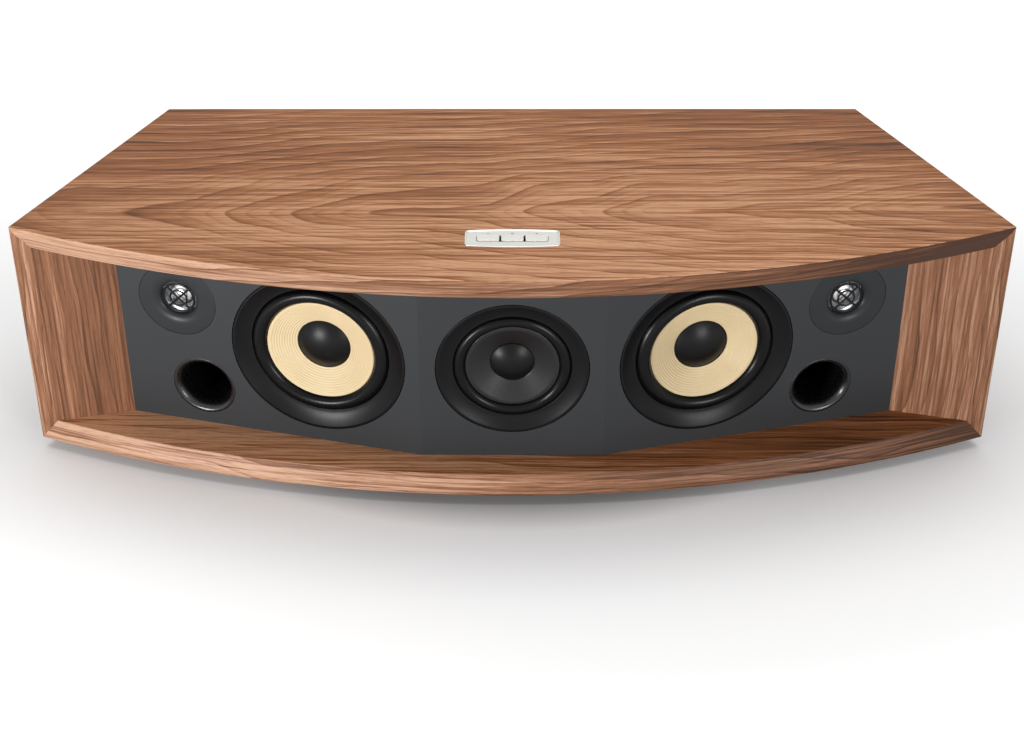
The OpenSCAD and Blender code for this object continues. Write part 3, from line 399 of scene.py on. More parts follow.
class Finish(Nodes):
    """A material with one principled shader, whose constant inputs are given by name."""

    def __init__(self, name, **constants):
        self.material = bpy.data.materials.new(name)
        super().__init__(self.material)
        self.shader = self.add("BsdfPrincipled", **constants)
        self.add("OutputMaterial", Surface=self.shader.outputs["BSDF"])

    def feed(self, name, source):
        self.put(source, self.shader.inputs[name])

    def point(self):
        return self.add("TexCoord").outputs["Object"]

    def grain(self):
        node = self.add("Attribute")
        node.attribute_name = "grain"
        return node.outputs["Vector"]

    def parts(self, vector):
        return self.add("SeparateXYZ", Vector=vector).outputs

    def joined(self, x, y, z):
        return self.add("CombineXYZ", X=x, Y=y, Z=z).outputs[0]

    def stretched(self, vector, factors):
        node = self.add("VectorMath")
        node.operation = "MULTIPLY"
        self.put(vector, node.inputs[0])
        self.put(factors, node.inputs[1])
        return node.outputs[0]

    def noise(self, vector, scale=1.0, detail=2.0, roughness=0.5):
        node = self.add("TexNoise", Vector=vector, Scale=scale, Detail=detail, Roughness=roughness)
        return node.outputs["Fac"]

    def cells(self, vector, scale):
        return self.add("TexVoronoi", Vector=vector, Scale=scale).outputs["Distance"]

    def ramp(self, factor, *stops):
        node = self.tree.nodes.new("ShaderNodeValToRGB")
        self.put(factor, node.inputs[0])
        elements = node.color_ramp.elements
        while len(elements) < len(stops):
            elements.new(0.5)
        for element, (place, colour) in zip(elements, stops):
            element.position = place
            element.color = colour if len(colour) == 4 else (*colour, 1.0)
        return node.outputs["Color"]

    def level(self, factor, *stops):
        """A ramp of plain numbers."""
        return self.ramp(factor, *[(place, (value, value, value, 1.0)) for place, value in stops])

    def mix(self, factor, first, second):
        node = self.add("Mix")
        node.data_type = "RGBA"
        for index, value in ((0, factor), (6, first), (7, second)):
            if not isinstance(value, (bpy.types.NodeSocket, float, int)) and len(value) == 3:
                value = (*value, 1.0)
            self.put(value, node.inputs[index])
        return node.outputs[2]

    def bump(self, height, distance, strength):
        node = self.add("Bump", Height=height, Distance=distance, Strength=strength)
        self.feed("Normal", node.outputs[0])


MATERIALS = {}


def kept(make):
    """Makes each finish once and hands the same one out after that."""
    def handed(*words):
        key = (make.__name__, *words)
        if key not in MATERIALS:
            MATERIALS[key] = make(*words)
        return MATERIALS[key]
    return handed


# How each sheet is cut: height over the log's heart, its fall along the grain, the heart's place across,
# seed, shade, and drift of the tone along the front strips, along the face, across it and to the ends.
# The left cheek's deeper shade and the darkening along the front strips, along the bottom's faces and to
# the ends are painted shade, and the top's darkening towards the back leaves a painted sheen at its front
SHEETS = {
    "top": (0.080, 0.140, -0.034, 4.0, 0.00, 1.9, 0.0, 1.4, 1.6),
    "bottom": (0.150, 0.050, 0.060, 11.0, 0.08, 1.3, 1.1, 0.0, 0.4),
    "side": (0.060, 0.090, -0.120, 23.0, 0.08, 0.0, 0.0, 0.0, 0.0),
    "left_cheek": (0.110, 0.070, -0.080, 37.0, 0.41, 0.0, 0.0, 0.0, 0.0),
    "right_cheek": (0.110, 0.070, -0.080, 41.0, 0.06, 0.0, 0.0, 0.0, 0.0),
}
# Noise in the wood: waves to a metre along and across the grain, detail and roughness
WOOD_NOISE = {
    "wander": (1.5, 6.0, 2.0, 0.5), "ripple": (16.0, 110.0, 3.0, 0.6), "drift": (5.5, 4.0, 2.0, 0.5),
    "spacing": (0.4, 6.0, 1.0, 0.5), "strength": (3.0, 18.0, 1.0, 0.5), "streak": (5.5, 260.0, 3.0, 0.6),
    "thread": (9.0, 520.0, 2.0, 0.5), "fibre": (30.0, 1300.0, 2.0, 0.6), "band": (1.4, 26.0, 2.0, 0.5),
    "pores": (95.0, 1900.0, 1.0, 0.5),
}
WANDER, RIPPLE, DRIFT = 0.050, 0.0048, 0.05
THREAD_WAVE, WIRE_WAVE = 5200.0, 21000.0
RING_POWER, RING_PITCH = 1.4, 0.0125


@kept
def veneer(panel):
    """Flat-sawn walnut under satin lacquer.

    The growth rings are nested cones cut by the sheet: a ring's number is a norm of the distance across from
    the heart and the height of the cut over it, which falls slowly along the grain. That draws long pointed
    flames. Noise stretched along the grain bends the rings, and finer noise gives streaks, fibres and pores.
    The tone's drifts over the panels are painted shade, with a painted sheen at the top's front, and the
    front strips' greyer colours are a painted sheen.
    """
    start, fall, heart, seed, tone_shift_and_painted_shade, strip_painted_shade, face_painted_shade, depth_painted_sheen, ends_painted_shade = SHEETS[panel]
    f = Finish(panel + "_walnut", Specular_IOR_Level=0.15)
    cheek = panel.endswith("cheek")
    if cheek:
        point = f.parts(f.point())
        grain = f.joined(point["Z"], point["X"], point["Y"])
    else:
        grain = f.grain()
    along, across, sheet = f.parts(grain)
    moved = f.joined(along, across, f.math("ADD", f.math("MULTIPLY", sheet, 1.7), seed))
    noise = {name: f.noise(f.stretched(moved, (run, width, 1.0)), 1.0, detail, roughness)
             for name, (run, width, detail, roughness) in WOOD_NOISE.items()}

    def swing(name, width, base=0.0):
        """Noise as a swing of that width about a base."""
        return f.math("MULTIPLY_ADD", noise[name], width, base - width / 2)

    bent = f.math("ADD", f.math("ADD", across, swing("wander", WANDER, -heart)), swing("ripple", RIPPLE))
    height = f.math("ADD", f.math("MULTIPLY_ADD", along, -fall, start), swing("drift", DRIFT))
    legs = [f.math("POWER", f.math("ABSOLUTE", leg), RING_POWER) for leg in (bent, height)]
    ring = f.math("POWER", f.math("ADD", *legs), 1 / RING_POWER)
    phase = f.math("ADD", f.math("DIVIDE", ring, RING_PITCH), f.math("MULTIPLY", noise["spacing"], 3.0))
    late = f.level(
        f.math("FRACT", phase), (0.0, 0.05), (0.45, 0.18), (0.84, 0.60), (0.95, 1.0), (0.985, 0.10))
    lines = f.level(
        f.math("FRACT", f.math("MULTIPLY", phase, 3.0)), (0.0, 0.0), (0.6, 0.2), (0.88, 1.0), (1.0, 0.1))
    strip = f.math("MINIMUM", sheet, 1.0)
    face = f.math("SUBTRACT", 1.0, strip)
    tone = f.math("MULTIPLY", late, f.math("MULTIPLY_ADD", noise["strength"], 1.3, -0.30, clamp=True))
    # Grain marks, then painted shade: the front strips darken towards the right, each panel darkens towards
    # its ends, the bottom's faces darken towards the right, and the top darkens towards the back, a painted
    # sheen at its front
    for source, weight in (
            (lines, 0.13),
            (f.math("SUBTRACT", noise["streak"], 0.5), 1.25),
            (f.level(noise["thread"], (0.50, 0.0), (0.66, 1.0)), 0.34),
            (f.math("SUBTRACT", noise["fibre"], 0.5), 0.70),
            (f.math("SUBTRACT", noise["band"], 0.5), 0.80),
            (f.math("MULTIPLY", strip, along), strip_painted_shade),
            (strip, 0.14),
            (f.math("MULTIPLY", along, along), ends_painted_shade),
            (f.math("MULTIPLY", face, along), face_painted_shade),
            (f.math("MULTIPLY", face, across), depth_painted_sheen)):
        tone = f.math("MULTIPLY_ADD", source, weight, tone)
    # The shift is each sheet's shade; the left cheek's larger one darkens it against the right cheek: painted
    # shade
    tone = f.math("ADD", tone, 0.08 + tone_shift_and_painted_shade, clamp=True)
    if cheek:
        tone = f.math("MULTIPLY_ADD", tone, 0.75, 0.13)
    look = finish()

    def walnut(fade):
        """The sheet's colours, faded towards grey; on the front strips the fade is a painted sheen."""
        colours = [np.array(c) for c in (look.veneer_light, look.veneer_middle, look.veneer_dark)]
        pale, middle, dark = [(1 - 0.3 * fade) * (fade * c.mean() + (1 - fade) * c) for c in colours]
        return f.ramp(
            tone, (0.0, tuple(pale)), (0.42, tuple(middle)), (0.72, tuple(0.5 * middle + 0.5 * dark)),
            (1.0, tuple(dark)))

    # Every face but the flat ones takes the faded colours; on the front strips they are a painted sheen
    colour = walnut(0.2) if cheek else f.mix(strip, walnut(0.0), walnut(0.2))
    pore = f.level(noise["pores"], (0.60, 0.0), (0.68, 1.0))
    colour = f.mix(f.math("MULTIPLY", pore, 0.35), colour, tuple(look.veneer_dark))
    f.feed("Base Color", colour)
    f.feed("Roughness", f.math("MULTIPLY_ADD", noise["fibre"], 0.20, 0.33))
    f.bump(f.math("SUBTRACT", noise["fibre"], f.math("MULTIPLY", pore, 0.8)), 0.00006, 0.5)
    return f.material


# Colour, shade, roughness, patches and grit to a metre, height of the grit, specular level, metal. A colour
# is a hex code or one of the finish properties, and a shade is a hex code or a share of the colour.
PAINTS = {
    "charcoal_lacquer": ("baffle", 0.86, 0.42, 9.0, 900.0, 0.00002, 0.2, 0.0),
    "satin_ring_plastic": ("trim", 0.8, 0.33, 30.0, 1600.0, 0.00001, 0.16, 0.0),
    "glossy_roll_rubber": ("040405", "08080a", 0.25, 60.0, 700.0, 0.00001, 0.16, 0.0),
    "cream_ribbed_cone": ("woofer_cone", (0.86, 0.82, 0.74), 0.46, 42.0, 1500.0, 0.00003, 0.4, 0.0),
    "black_middle_cone": ("060607", "030304", 0.25, 42.0, 1800.0, 0.00002, 0.45, 0.0),
    "satin_dust_cap": ("080808", "050506", 0.34, 50.0, 2200.0, 0.00002, 0.18, 0.0),
    "gloss_port_plastic": ("08080a", "0c0c0d", 0.27, 40.0, 500.0, 0.00001, 0.6, 0.0),
    "tweeter_faceplate_paint": ("2c2e30", "26282a", 0.36, 40.0, 1500.0, 0.00001, 0.2, 0.0),
    "guard_black": ("060607", "0a0a0b", 0.30, 60.0, 1500.0, 0.00001, 0.2, 0.0),
    "silver_dome": ("c4c5c7", 0.93, 0.28, 300.0, 2600.0, 0.000004, 0.5, 1.0),
    "silver_ring": ("c9cacc", 0.93, 0.16, 300.0, 2600.0, 0.000004, 0.5, 1.0),
    "pale_key_plastic": ("eceae4", "e4e2da", 0.34, 90.0, 2600.0, 0.000006, 0.5, 0.0),
    "dark_mark_ink": ("3a3b3d", "333436", 0.5, 200.0, 3000.0, 0.000004, 0.5, 0.0),
    "rear_vinyl": ("1d1d1f", "161617", 0.58, 14.0, 1400.0, 0.00012, 0.5, 0.0),
    "chamber_board": ("b58f63", "9c774e", 0.72, 22.0, 900.0, 0.00010, 0.5, 0.0),
    "foot_rubber": ("1b1b1c", "131314", 0.78, 60.0, 1500.0, 0.00008, 0.5, 0.0),
    "connector_plastic": ("202123", "19191b", 0.52, 30.0, 2400.0, 0.00006, 0.5, 0.0),
    "socket_plastic": ("17181a", "111113", 0.40, 60.0, 2400.0, 0.00003, 0.5, 0.0),
    "socket_metal": ("b9bbbd", "a3a5a7", 0.32, 80.0, 2800.0, 0.00001, 0.5, 1.0),
    "heat_sink_metal": ("8e9194", "7c7f82", 0.38, 60.0, 2600.0, 0.00002, 0.5, 1.0),
    "radio_shield": ("c2c4c4", "a9abab", 0.28, 90.0, 2600.0, 0.00001, 0.5, 1.0),
    "basket_paint": ("26272a", "1d1e20", 0.50, 40.0, 1900.0, 0.00006, 0.5, 0.2),
    "magnet_ferrite": ("37393c", "2b2d2f", 0.66, 70.0, 1400.0, 0.00010, 0.5, 0.1),
    "motor_steel": ("a7a99c", "8f917f", 0.34, 50.0, 2200.0, 0.00002, 0.5, 1.0),
    "tweeter_motor": ("303236", "27292c", 0.48, 50.0, 1800.0, 0.00004, 0.5, 0.3),
    "fastener_steel": ("2b2c2e", "202122", 0.34, 90.0, 2600.0, 0.00001, 0.5, 0.9),
}


@kept
def paint(name):
    """A finish whose tone wanders to a shade in patches, over a fine grit that also varies the gloss."""
    colour, shade, roughness, patch, grit, grit_height, specular, metallic = PAINTS[name]
    colour = tuple(getattr(finish(), colour)) if hasattr(finish(), colour) else tint(colour)[:3]
    if isinstance(shade, str):
        shade = tint(shade)
    else:
        shade = tuple((np.array(colour) * shade).tolist())
    f = Finish(name, Specular_IOR_Level=specular, Metallic=metallic)
    point = f.point()
    f.feed("Base Color", f.mix(f.noise(point, patch, 3.0), shade, colour))
    fine = f.noise(point, grit, 2.0)
    f.feed("Roughness", f.math("MULTIPLY_ADD", fine, 0.16, roughness - 0.08))
    f.bump(fine, grit_height, 0.6)
    return f.material


@kept
def bezel_metal():
    """Blasted aluminium with a soft brushed run across it."""
    f = Finish("satin_bezel_metal", Metallic=0.85)
    point = f.point()
    brushed = f.noise(f.stretched(point, (160.0, 5200.0, 900.0)), 1.0, 2.0)
    look = tuple(finish().metal)
    f.feed("Base Color", f.mix(brushed, tuple(0.88 * c for c in look), look))
    f.feed("Roughness", f.math("MULTIPLY_ADD", brushed, 0.14, 0.36))
    f.bump(brushed, 0.00001, 0.5)
    return f.material


@kept
def circuit_board():
    """Green solder mask over right-angled tracks, with pale specks for the pads."""
    f = Finish("circuit_board_green", Specular_IOR_Level=0.5)
    point = f.point()
    tracks = f.cells(f.stretched(point, (1.0, 1.0, 0.2)), 220.0)
    pads = f.cells(point, 640.0)
    colour = f.ramp(tracks, (0.0, tint("1c5a38")), (0.45, tint("2f7a4c")), (0.8, tint("184a2e")))
    colour = f.mix(f.level(pads, (0.10, 1.0), (0.16, 0.0)), colour, tint("c9c9bd"))
    f.feed("Base Color", colour)
    f.feed("Roughness", f.math("MULTIPLY_ADD", tracks, 0.2, 0.3))
    f.bump(tracks, 0.00006, 0.5)
    return f.material


@kept
def spider_cloth():
    """Woven amber cloth: two crossed sets of threads."""
    f = Finish("spider_cloth", Roughness=0.82)
    x, y, z = f.parts(f.point())
    warp = f.math("SINE", f.math("MULTIPLY", f.math("ADD", x, y), THREAD_WAVE))
    weft = f.math("SINE", f.math("MULTIPLY", z, THREAD_WAVE))
    weave = f.math("MULTIPLY_ADD", f.math("MULTIPLY", warp, weft), 0.5, 0.5)
    f.feed("Base Color", f.mix(weave, tint("7d5a1c"), tint("b8902f")))
    f.bump(weave, 0.0001, 0.8)
    return f.material


@kept
def coil_winding():
    """Enamelled copper wire, wound turn on turn."""
    f = Finish("coil_winding", Metallic=0.9)
    _, y, _ = f.parts(f.point())
    turns = f.math("MULTIPLY_ADD", f.math("SINE", f.math("MULTIPLY", y, WIRE_WAVE)), 0.5, 0.5)
    f.feed("Base Color", f.mix(turns, tint("6b3414"), tint("b56a34")))
    f.feed("Roughness", f.math("MULTIPLY_ADD", turns, 0.15, 0.25))
    f.bump(turns, 0.00008, 0.8)
    return f.material


def paint_nodes(looks):
    """Gives carried-over solids their finishes through their material slots."""
    for name, material in looks.items():
        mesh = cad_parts[name].data
        if not mesh.materials:
            mesh.materials.append(material)
        for index in range(len(mesh.materials)):
            mesh.materials[index] = material


def side_place(n, s):
    """Plan position of a point n outside the right side's face and s behind its front corner."""
    return (HALF_W + n * math.cos(SIDE_ANGLE) - s * math.sin(SIDE_ANGLE),
            Y_CORNER + n * math.sin(SIDE_ANGLE) + s * math.cos(SIDE_ANGLE))


def arc_reach(n, radius):
    """Where a line n outside the side's face meets a front arc, measured back from the corner."""
    x, y = side_place(n, 0.0)
    y = y - ARC_Y
    b = -x * math.sin(SIDE_ANGLE) + y * math.cos(SIDE_ANGLE)
    return -b - np.sqrt(b * b - x * x - y * y + radius * radius)


def corner_grain(coordinates, classes, counts):
    """Grain coordinates at every face corner: one of several sets, by the class of each face."""
    return np.vstack([coordinates[kind][face] for face, kind in zip(counts, classes)])


def control_pocket(rows, first, last):
    """The seat and pocket of the control panel, cut into a grid of points.

    The border of the cut block of cells is joined, by rays from the bezel's middle, to the bezel's outline.
    From there the wall goes down to the seat, in to the pocket's rectangle and down to its floor.
    """
    (i, j), (k, m) = first, last
    width = rows.shape[1]
    border = np.array(
        [n * width + j for n in range(i, k)] + [k * width + n for n in range(j, m)]
        + [n * width + m for n in range(k, i, -1)] + [i * width + n for n in range(m, j, -1)])
    count = len(border)
    middle = np.array([0.0, CONTROL_Y])
    ways = rows.reshape(-1, 3)[border, :2] - middle
    ways /= np.hypot(*ways.T)[:, None]
    seat = outline(bezel_distance, 0.0, ways) + middle
    pocket = rounded_outline(POCKET_W, POCKET_L, POCKET_CORNER, ways) + middle
    loops = np.stack([
        np.column_stack([ring, np.full(count, Z_TOP - depth)])
        for ring, depth in ((seat, 0.0), (seat, BEZEL_T), (pocket, BEZEL_T), (pocket, POCKET_DEPTH))])
    start = rows.shape[0] * width
    index = np.vstack([border, start + np.arange(4 * count).reshape(4, count)])
    after = np.roll(index, -1, 1)
    faces = np.stack([index[:-1], after[:-1], after[1:], index[1:]], -1).reshape(-1, 4).tolist()
    faces.append(index[-1].tolist())
    return loops.reshape(-1, 3), faces


def bowed_skin(arris, mirror):
    """The top or bottom panel's skin, a section carried across the cabinet.

    The section goes up the bevel and the band at the front, round the arris, back over the face, round the
    back arris and forward underneath. A point's depth is a mix, by its share q, of the front arc (radius
    less the section's inset) and the back line. Its x is a share u of the half width on the mitre plane at
    that depth and height. Over the last steps the face rounds down to the mitre with the side.
    """
    front, eased, under = 4, 8, 8
    turn = quarter(eased)
    end_turn = math.asin((PANEL_T - SIDE_T) / math.hypot(PANEL_T, SIDE_T)) + math.atan2(SIDE_T, PANEL_T)
    face_q = np.array([0.006, 0.07, 0.145, 0.179, 0.213, 0.247, 0.281, 0.315, 0.45, 0.6, 0.8, 0.994])
    face = len(face_q)
    under_q = np.linspace(0.99, 0.03, under)
    rise, rounding = np.sin(turn), arris * (1 - np.cos(turn))
    q = np.concatenate([np.zeros(front + eased), face_q, np.ones(eased + 1), under_q])
    inset = np.concatenate([
        [BEVEL_DEPTH, BEVEL_DEPTH * 0.5, 0.00012, 0], rounding, np.full(face, arris), rounding[::-1],
        [0], BEVEL_DEPTH * (1 - under_q)])
    z = np.concatenate([
        [Z_CEILING, (Z_CEILING + Z_TOP - EDGE_BAND) / 2, Z_TOP - EDGE_BAND - 0.0003, Z_TOP - EDGE_BAND],
        Z_TOP - arris + arris * rise, np.full(face, Z_TOP), Z_TOP - arris + arris * rise[::-1],
        np.full(under + 1, Z_CEILING)])
    weight = np.concatenate([np.zeros(front), rise, np.ones(face), rise[::-1], np.zeros(under + 1)])
    kind = np.repeat([1, 0, 2, 0], [front + 3, face + 9, 5, under])

    tail, cut_half, cut_rows, cut_columns = 4, 0.12, 32, 5
    ends = np.linspace(0, end_turn, tail + 1)
    flank = np.linspace(-0.99, -cut_half, 59)
    middle = np.concatenate([
        [-1, -0.997], flank, np.linspace(-cut_half, cut_half, cut_rows + 1)[1:-1], -flank[::-1], [0.997, 1]])
    u = np.concatenate([-np.ones(tail), middle, np.ones(tail)])
    offset = np.full(len(u), arris)
    drop = np.zeros(len(u))
    for rows, turns in ((slice(0, tail), ends[:0:-1]), (slice(-tail, None), ends[1:])):
        offset[rows], drop[rows] = arris * (1 - np.sin(turns)), arris * (1 - np.cos(turns))
    last = arris * (1 - math.sin(end_turn))
    e = offset[:, None] - (1 - weight)[None, :] * last
    x = u[:, None] * np.full(len(q), HALF_W)[None, :] * 0.9
    for _ in range(24):
        y = (1 - q) * (ARC_Y - np.sqrt((ARC_R - inset) ** 2 - x * x)) + q * (Y_BACK - inset)
        reach = (HALF_W - (y - Y_CORNER) * math.tan(SIDE_ANGLE)
                 - ((Z_TOP - z) * SIDE_T / PANEL_T + e) / math.cos(SIDE_ANGLE))
        x = u[:, None] * reach
    height = np.broadcast_to(z, x.shape) - drop[:, None] * weight
    length = np.cumsum(np.concatenate([[0], np.hypot(np.diff(inset), np.diff(z))]))
    if mirror:
        height = Z_UNDER + Z_TOP - height
    rows = np.stack([x, y, height], -1)
    points = rows.reshape(-1, 3)
    faces = ring_of_rows(rows, flip=mirror)
    classes = np.concatenate([np.tile(kind, len(u) - 1), [0, 0]])
    flat = np.stack([x, y, np.zeros_like(x)], -1).reshape(-1, 3)
    strip = np.stack([
        ARC_R * np.arcsin(x / ARC_R), np.broadcast_to(0.16 + length, x.shape), np.ones_like(x)], -1)
    back = np.stack([x, 0.19 + height, np.full_like(x, 2.0)], -1)
    sets = [flat, strip.reshape(-1, 3), back.reshape(-1, 3)]
    if not mirror:
        first = (tail + 1 + len(flank), front + eased + 2)
        last = (first[0] + cut_rows, first[1] + cut_columns)
        more_points, more_faces = control_pocket(rows, first, last)
        cell = np.arange((len(u) - 1) * len(q))
        row, column = cell // len(q), cell % len(q)
        cut = (row >= first[0]) & (row < last[0]) & (column >= first[1]) & (column < last[1])
        kept_cells = np.flatnonzero(~np.append(cut, [False, False]))
        faces = [faces[index] for index in kept_cells] + more_faces
        classes = np.concatenate([classes[kept_cells], np.zeros(len(more_faces), int)])
        points = np.vstack([points, more_points])
        sets = [np.vstack([each, more_points * (1, 1, 0)]) for each in sets]
    return points, faces, corner_grain(sets, classes, faces)


def side_skin(arris, mirror):
    """A side panel's skin, a plan outline carried up the cabinet between the two mitres.

    The outline runs forward along the outer face, round the arris into the band on the front arc, back over
    the bevel, along the inner face and across the back. A point's height is a share of the way between the
    mitre planes at its depth in the panel, and at both ends the outer face rounds in to meet them.
    """
    eased, face, inner, tail = 7, 9, 8, 4
    turn = quarter(eased)

    def back_s(n):
        return (Y_BACK - Y_CORNER - n * math.sin(SIDE_ANGLE)) / math.cos(SIDE_ANGLE)

    n_back = -arris * (1 - np.sin(turn))
    s_back = back_s(n_back) - arris * (1 - np.cos(turn))
    s_face = np.linspace(back_s(0) - 2.5 * arris, arc_reach(0.0, ARC_R) + 2.5 * arris, face)
    n_front = -arris * (1 - np.cos(turn))
    s_front = arc_reach(n_front, ARC_R) + arris * (1 - np.sin(turn))
    s_in = arc_reach(-SIDE_T, ARC_R - BEVEL_DEPTH)
    s_inner = np.linspace(s_in, back_s(-SIDE_T), inner)
    n = np.concatenate([n_back, np.zeros(face), n_front, [-SIDE_BAND], np.full(inner, -SIDE_T)])
    s = np.concatenate([s_back, s_face, s_front, [arc_reach(-SIDE_BAND, ARC_R)], s_inner])
    weight = np.concatenate([np.sin(turn), np.ones(face), np.cos(turn), np.zeros(1 + inner)])
    kind = np.repeat([0, 1, 0], [eased + face + 3, 5, inner])

    end_turn = math.acos((PANEL_T - SIDE_T) / math.hypot(PANEL_T, SIDE_T)) - math.atan2(SIDE_T, PANEL_T)
    ends = np.linspace(0, end_turn, tail + 1)
    inward = arris * (1 - np.cos(ends))
    short = arris * (1 - np.sin(ends))
    middle = np.concatenate([[0, 0.012], np.linspace(0.05, 0.95, 11), [0.988, 1]])
    share = np.concatenate([np.zeros(tail), middle, np.ones(tail)])
    inward_row = np.concatenate([inward[:0:-1], np.zeros(len(middle)), inward[1:]])
    short_row = np.concatenate([short[:0:-1], np.full(len(middle), arris), short[1:]])
    trim = short_row[:, None] - (1 - weight)[None, :] * short[-1]
    high = Z_TOP + n * PANEL_T / SIDE_T - trim
    low = Z_UNDER - n * PANEL_T / SIDE_T + trim
    height = low + share[:, None] * (high - low)
    moved = n - inward_row[:, None] * weight
    x, y = side_place(moved, np.broadcast_to(s, moved.shape))
    if mirror:
        x = -x
    rows = np.stack([x, y, height], -1)
    faces = ring_of_rows(rows, flip=mirror)
    wide = np.stack([height, np.broadcast_to(s, x.shape), np.full_like(x, 3.0)], -1).reshape(-1, 3)
    strip = np.stack([height, 0.3 - moved, np.full_like(x, 4.0)], -1).reshape(-1, 3)
    classes = np.concatenate([np.tile(kind, len(share) - 1), [0, 0]])
    return rows.reshape(-1, 3), faces, corner_grain([wide, strip], classes, faces)


class SPEAKER_OT_cabinet(bpy.types.Operator):
    """Makes the veneered outer panels with their bevels, mitres and eased edges"""
    bl_idname = "speaker.cabinet"
    bl_label = "Cabinet panels"

    def execute(self, context):
        arris = sizes().arris
        for name, mirror in (("top", False), ("bottom", True)):
            points, faces, grain = bowed_skin(arris, mirror)
            add_piece(name + "_panel_skin", points, faces, veneer(name), "cabinet",
                      [name + "_panel"], sharp=17.0, grain=grain)
        for name, mirror in (("right", False), ("left", True)):
            points, faces, grain = side_skin(arris, mirror)
            add_piece(name + "_side_skin", points, faces, veneer("side"), "cabinet",
                      [name + "_side_panel"], sharp=17.0, grain=grain)
        paint_nodes({name: veneer(name) for name in ("left_cheek", "right_cheek")})
        return {"FINISHED"}


class SPEAKER_OT_baffle(bpy.types.Operator):
    """Finishes the baffle, the rear board and the feet"""
    bl_idname = "speaker.baffle"
    bl_label = "Baffle, back and feet"

    def execute(self, context):
        paint_nodes({
            "front_baffle": paint("charcoal_lacquer"), "rear_panel": paint("rear_vinyl"),
            "chamber_walls": paint("chamber_board"), "rubber_feet": paint("foot_rubber")})
        return {"FINISHED"}


def levels(d):
    """Heights of the surround's glued lip and of the basket's flange, out of the baffle's face."""
    lip = -d["dish"] - TRIM_T
    return lip, lip - ROLL_T


def trim_profile(d):
    """Ring section: a narrow flat land, then a dish that falls to the roll and ends in a rounded lip."""
    lip, _ = levels(d)
    turn = quarter(5)
    land = d["trim_r"] - LAND_W
    foot = d["roll_r"] + LIP_ROUND
    hollow, fall, swell = 1.45, 0.97, 0.00012
    t = np.linspace(0, 1, 22)[1:]
    dish_r = land + (foot - land) * t
    dish_h = -d["dish"] * (1 - (1 - t) ** hollow) * fall + swell * np.sin(np.pi * t)
    inner_r = d["roll_r"] + LIP_ROUND * (1 - np.sin(turn[1:]))
    inner_h = dish_h[-1] - LIP_ROUND * (1 - np.cos(turn[1:]))
    return np.vstack([
        [[d["trim_r"], lip]],
        eased_edge(d["trim_r"], 0.0005, turn),
        [[land, 0.0]],
        np.stack([dish_r, dish_h], 1),
        np.stack([inner_r, inner_h], 1),
        [[d["roll_r"], lip]],
    ])


def roll_profile(d):
    """Rubber section: a flat outer lip, a half roll and a flat inner lip, all one millimetre thick."""
    lip, flange = levels(d)
    middle = (d["roll_r"] + d["cone_r"]) / 2
    radius = (d["roll_r"] - d["cone_r"]) / 2
    start = math.asin(ROLL_T / radius)
    outer = np.linspace(start, math.pi - start, 37)
    inner = np.linspace(math.pi, 0, 21)
    thin = radius - ROLL_T
    return np.vstack([
        [[d["trim_r"], flange], [d["trim_r"], lip]],
        oval(middle, flange, radius, radius, outer),
        [[d["cone_r"] - LIP_W, lip], [d["cone_r"] - LIP_W, flange]],
        oval(middle, flange, thin, thin, inner),
    ])


def cone_profile(d, ribs):
    """Cone section: glued rim, straight slope to the coil and back, with ribs on the slope's front."""
    lip, _ = levels(d)
    former = d["coil_r"] + FORMER_T
    rim = d["cone_r"] - LIP_W
    top = lip + CONE_T
    slope = (d["cap_drop"] + top) / (rim - d["cap_r"])
    neck = -d["cap_drop"] - slope * (d["cap_r"] - former)
    count = 7 * max(1, round((rim - d["cap_r"]) / sizes().rib_pitch)) if ribs else 24
    t = np.linspace(0, 1, count + 1)
    r = rim + (d["cap_r"] - rim) * t
    h = top + (-d["cap_drop"] - top) * t
    if ribs:
        wave = 0.5 - 0.5 * np.cos(2 * np.pi * (rim - r) / sizes().rib_pitch)
        h = h - sizes().rib_height * wave
    return np.vstack([
        [[d["cone_r"], lip]],
        eased_edge(d["cone_r"], 0.0003, quarter(4), top),
        np.stack([r, h], 1),
        [[former, neck], [former, neck - CONE_T], [rim, lip]],
    ])


def cap_profile(d):
    """Dome section from the axis to the axis: the underside out to the rim, then the dome back up."""
    ball = (d["cap_r"] ** 2 + d["cap_h"] ** 2) / (2 * d["cap_h"])
    centre = d["cap_h"] - d["cap_drop"] - ball
    reach = math.asin(d["cap_r"] / ball)
    under = np.linspace(0, reach, 12)
    over = np.linspace(reach, 0, 30)
    skin, glue = 0.0007, 0.0002
    return np.vstack([
        ball_arc(ball - skin, centre, under),
        [[d["cap_r"] + 0.0006, -d["cap_drop"] + 0.00012], [d["cap_r"] + 0.0005, -d["cap_drop"] + 0.0005]],
        ball_arc(ball, centre + glue, over),
    ])


class SPEAKER_OT_drivers(bpy.types.Operator):
    """Turns the trim rings, cones and dust caps of the woofers and the midrange"""
    bl_idname = "speaker.drivers"
    bl_label = "Rings, cones and caps"

    def execute(self, context):
        for name, side, d in DRIVERS:
            spot = spot_on_baffle(side, d["offset"])
            moving = name + "_cone_assembly"
            cream = d is WOOFER
            turned_piece(name + "_ring", trim_profile(d), spot, paint("satin_ring_plastic"), "cabinet",
                         [name + "_trim"])
            turned_piece(name + "_diaphragm", cone_profile(d, cream), spot,
                         paint("cream_ribbed_cone" if cream else "black_middle_cone"), moving,
                         [name + "_cone"], sharp=75.0)
            turned_piece(name + "_dome", cap_profile(d), spot, paint("satin_dust_cap"), moving,
                         [name + "_dust_cap"])
            paint_nodes({
                name + "_basket": paint("basket_paint"), name + "_magnet": paint("magnet_ferrite"),
                name + "_motor": paint("motor_steel"), name + "_spider": spider_cloth(),
                name + "_voice_coil": coil_winding()})
        return {"FINISHED"}


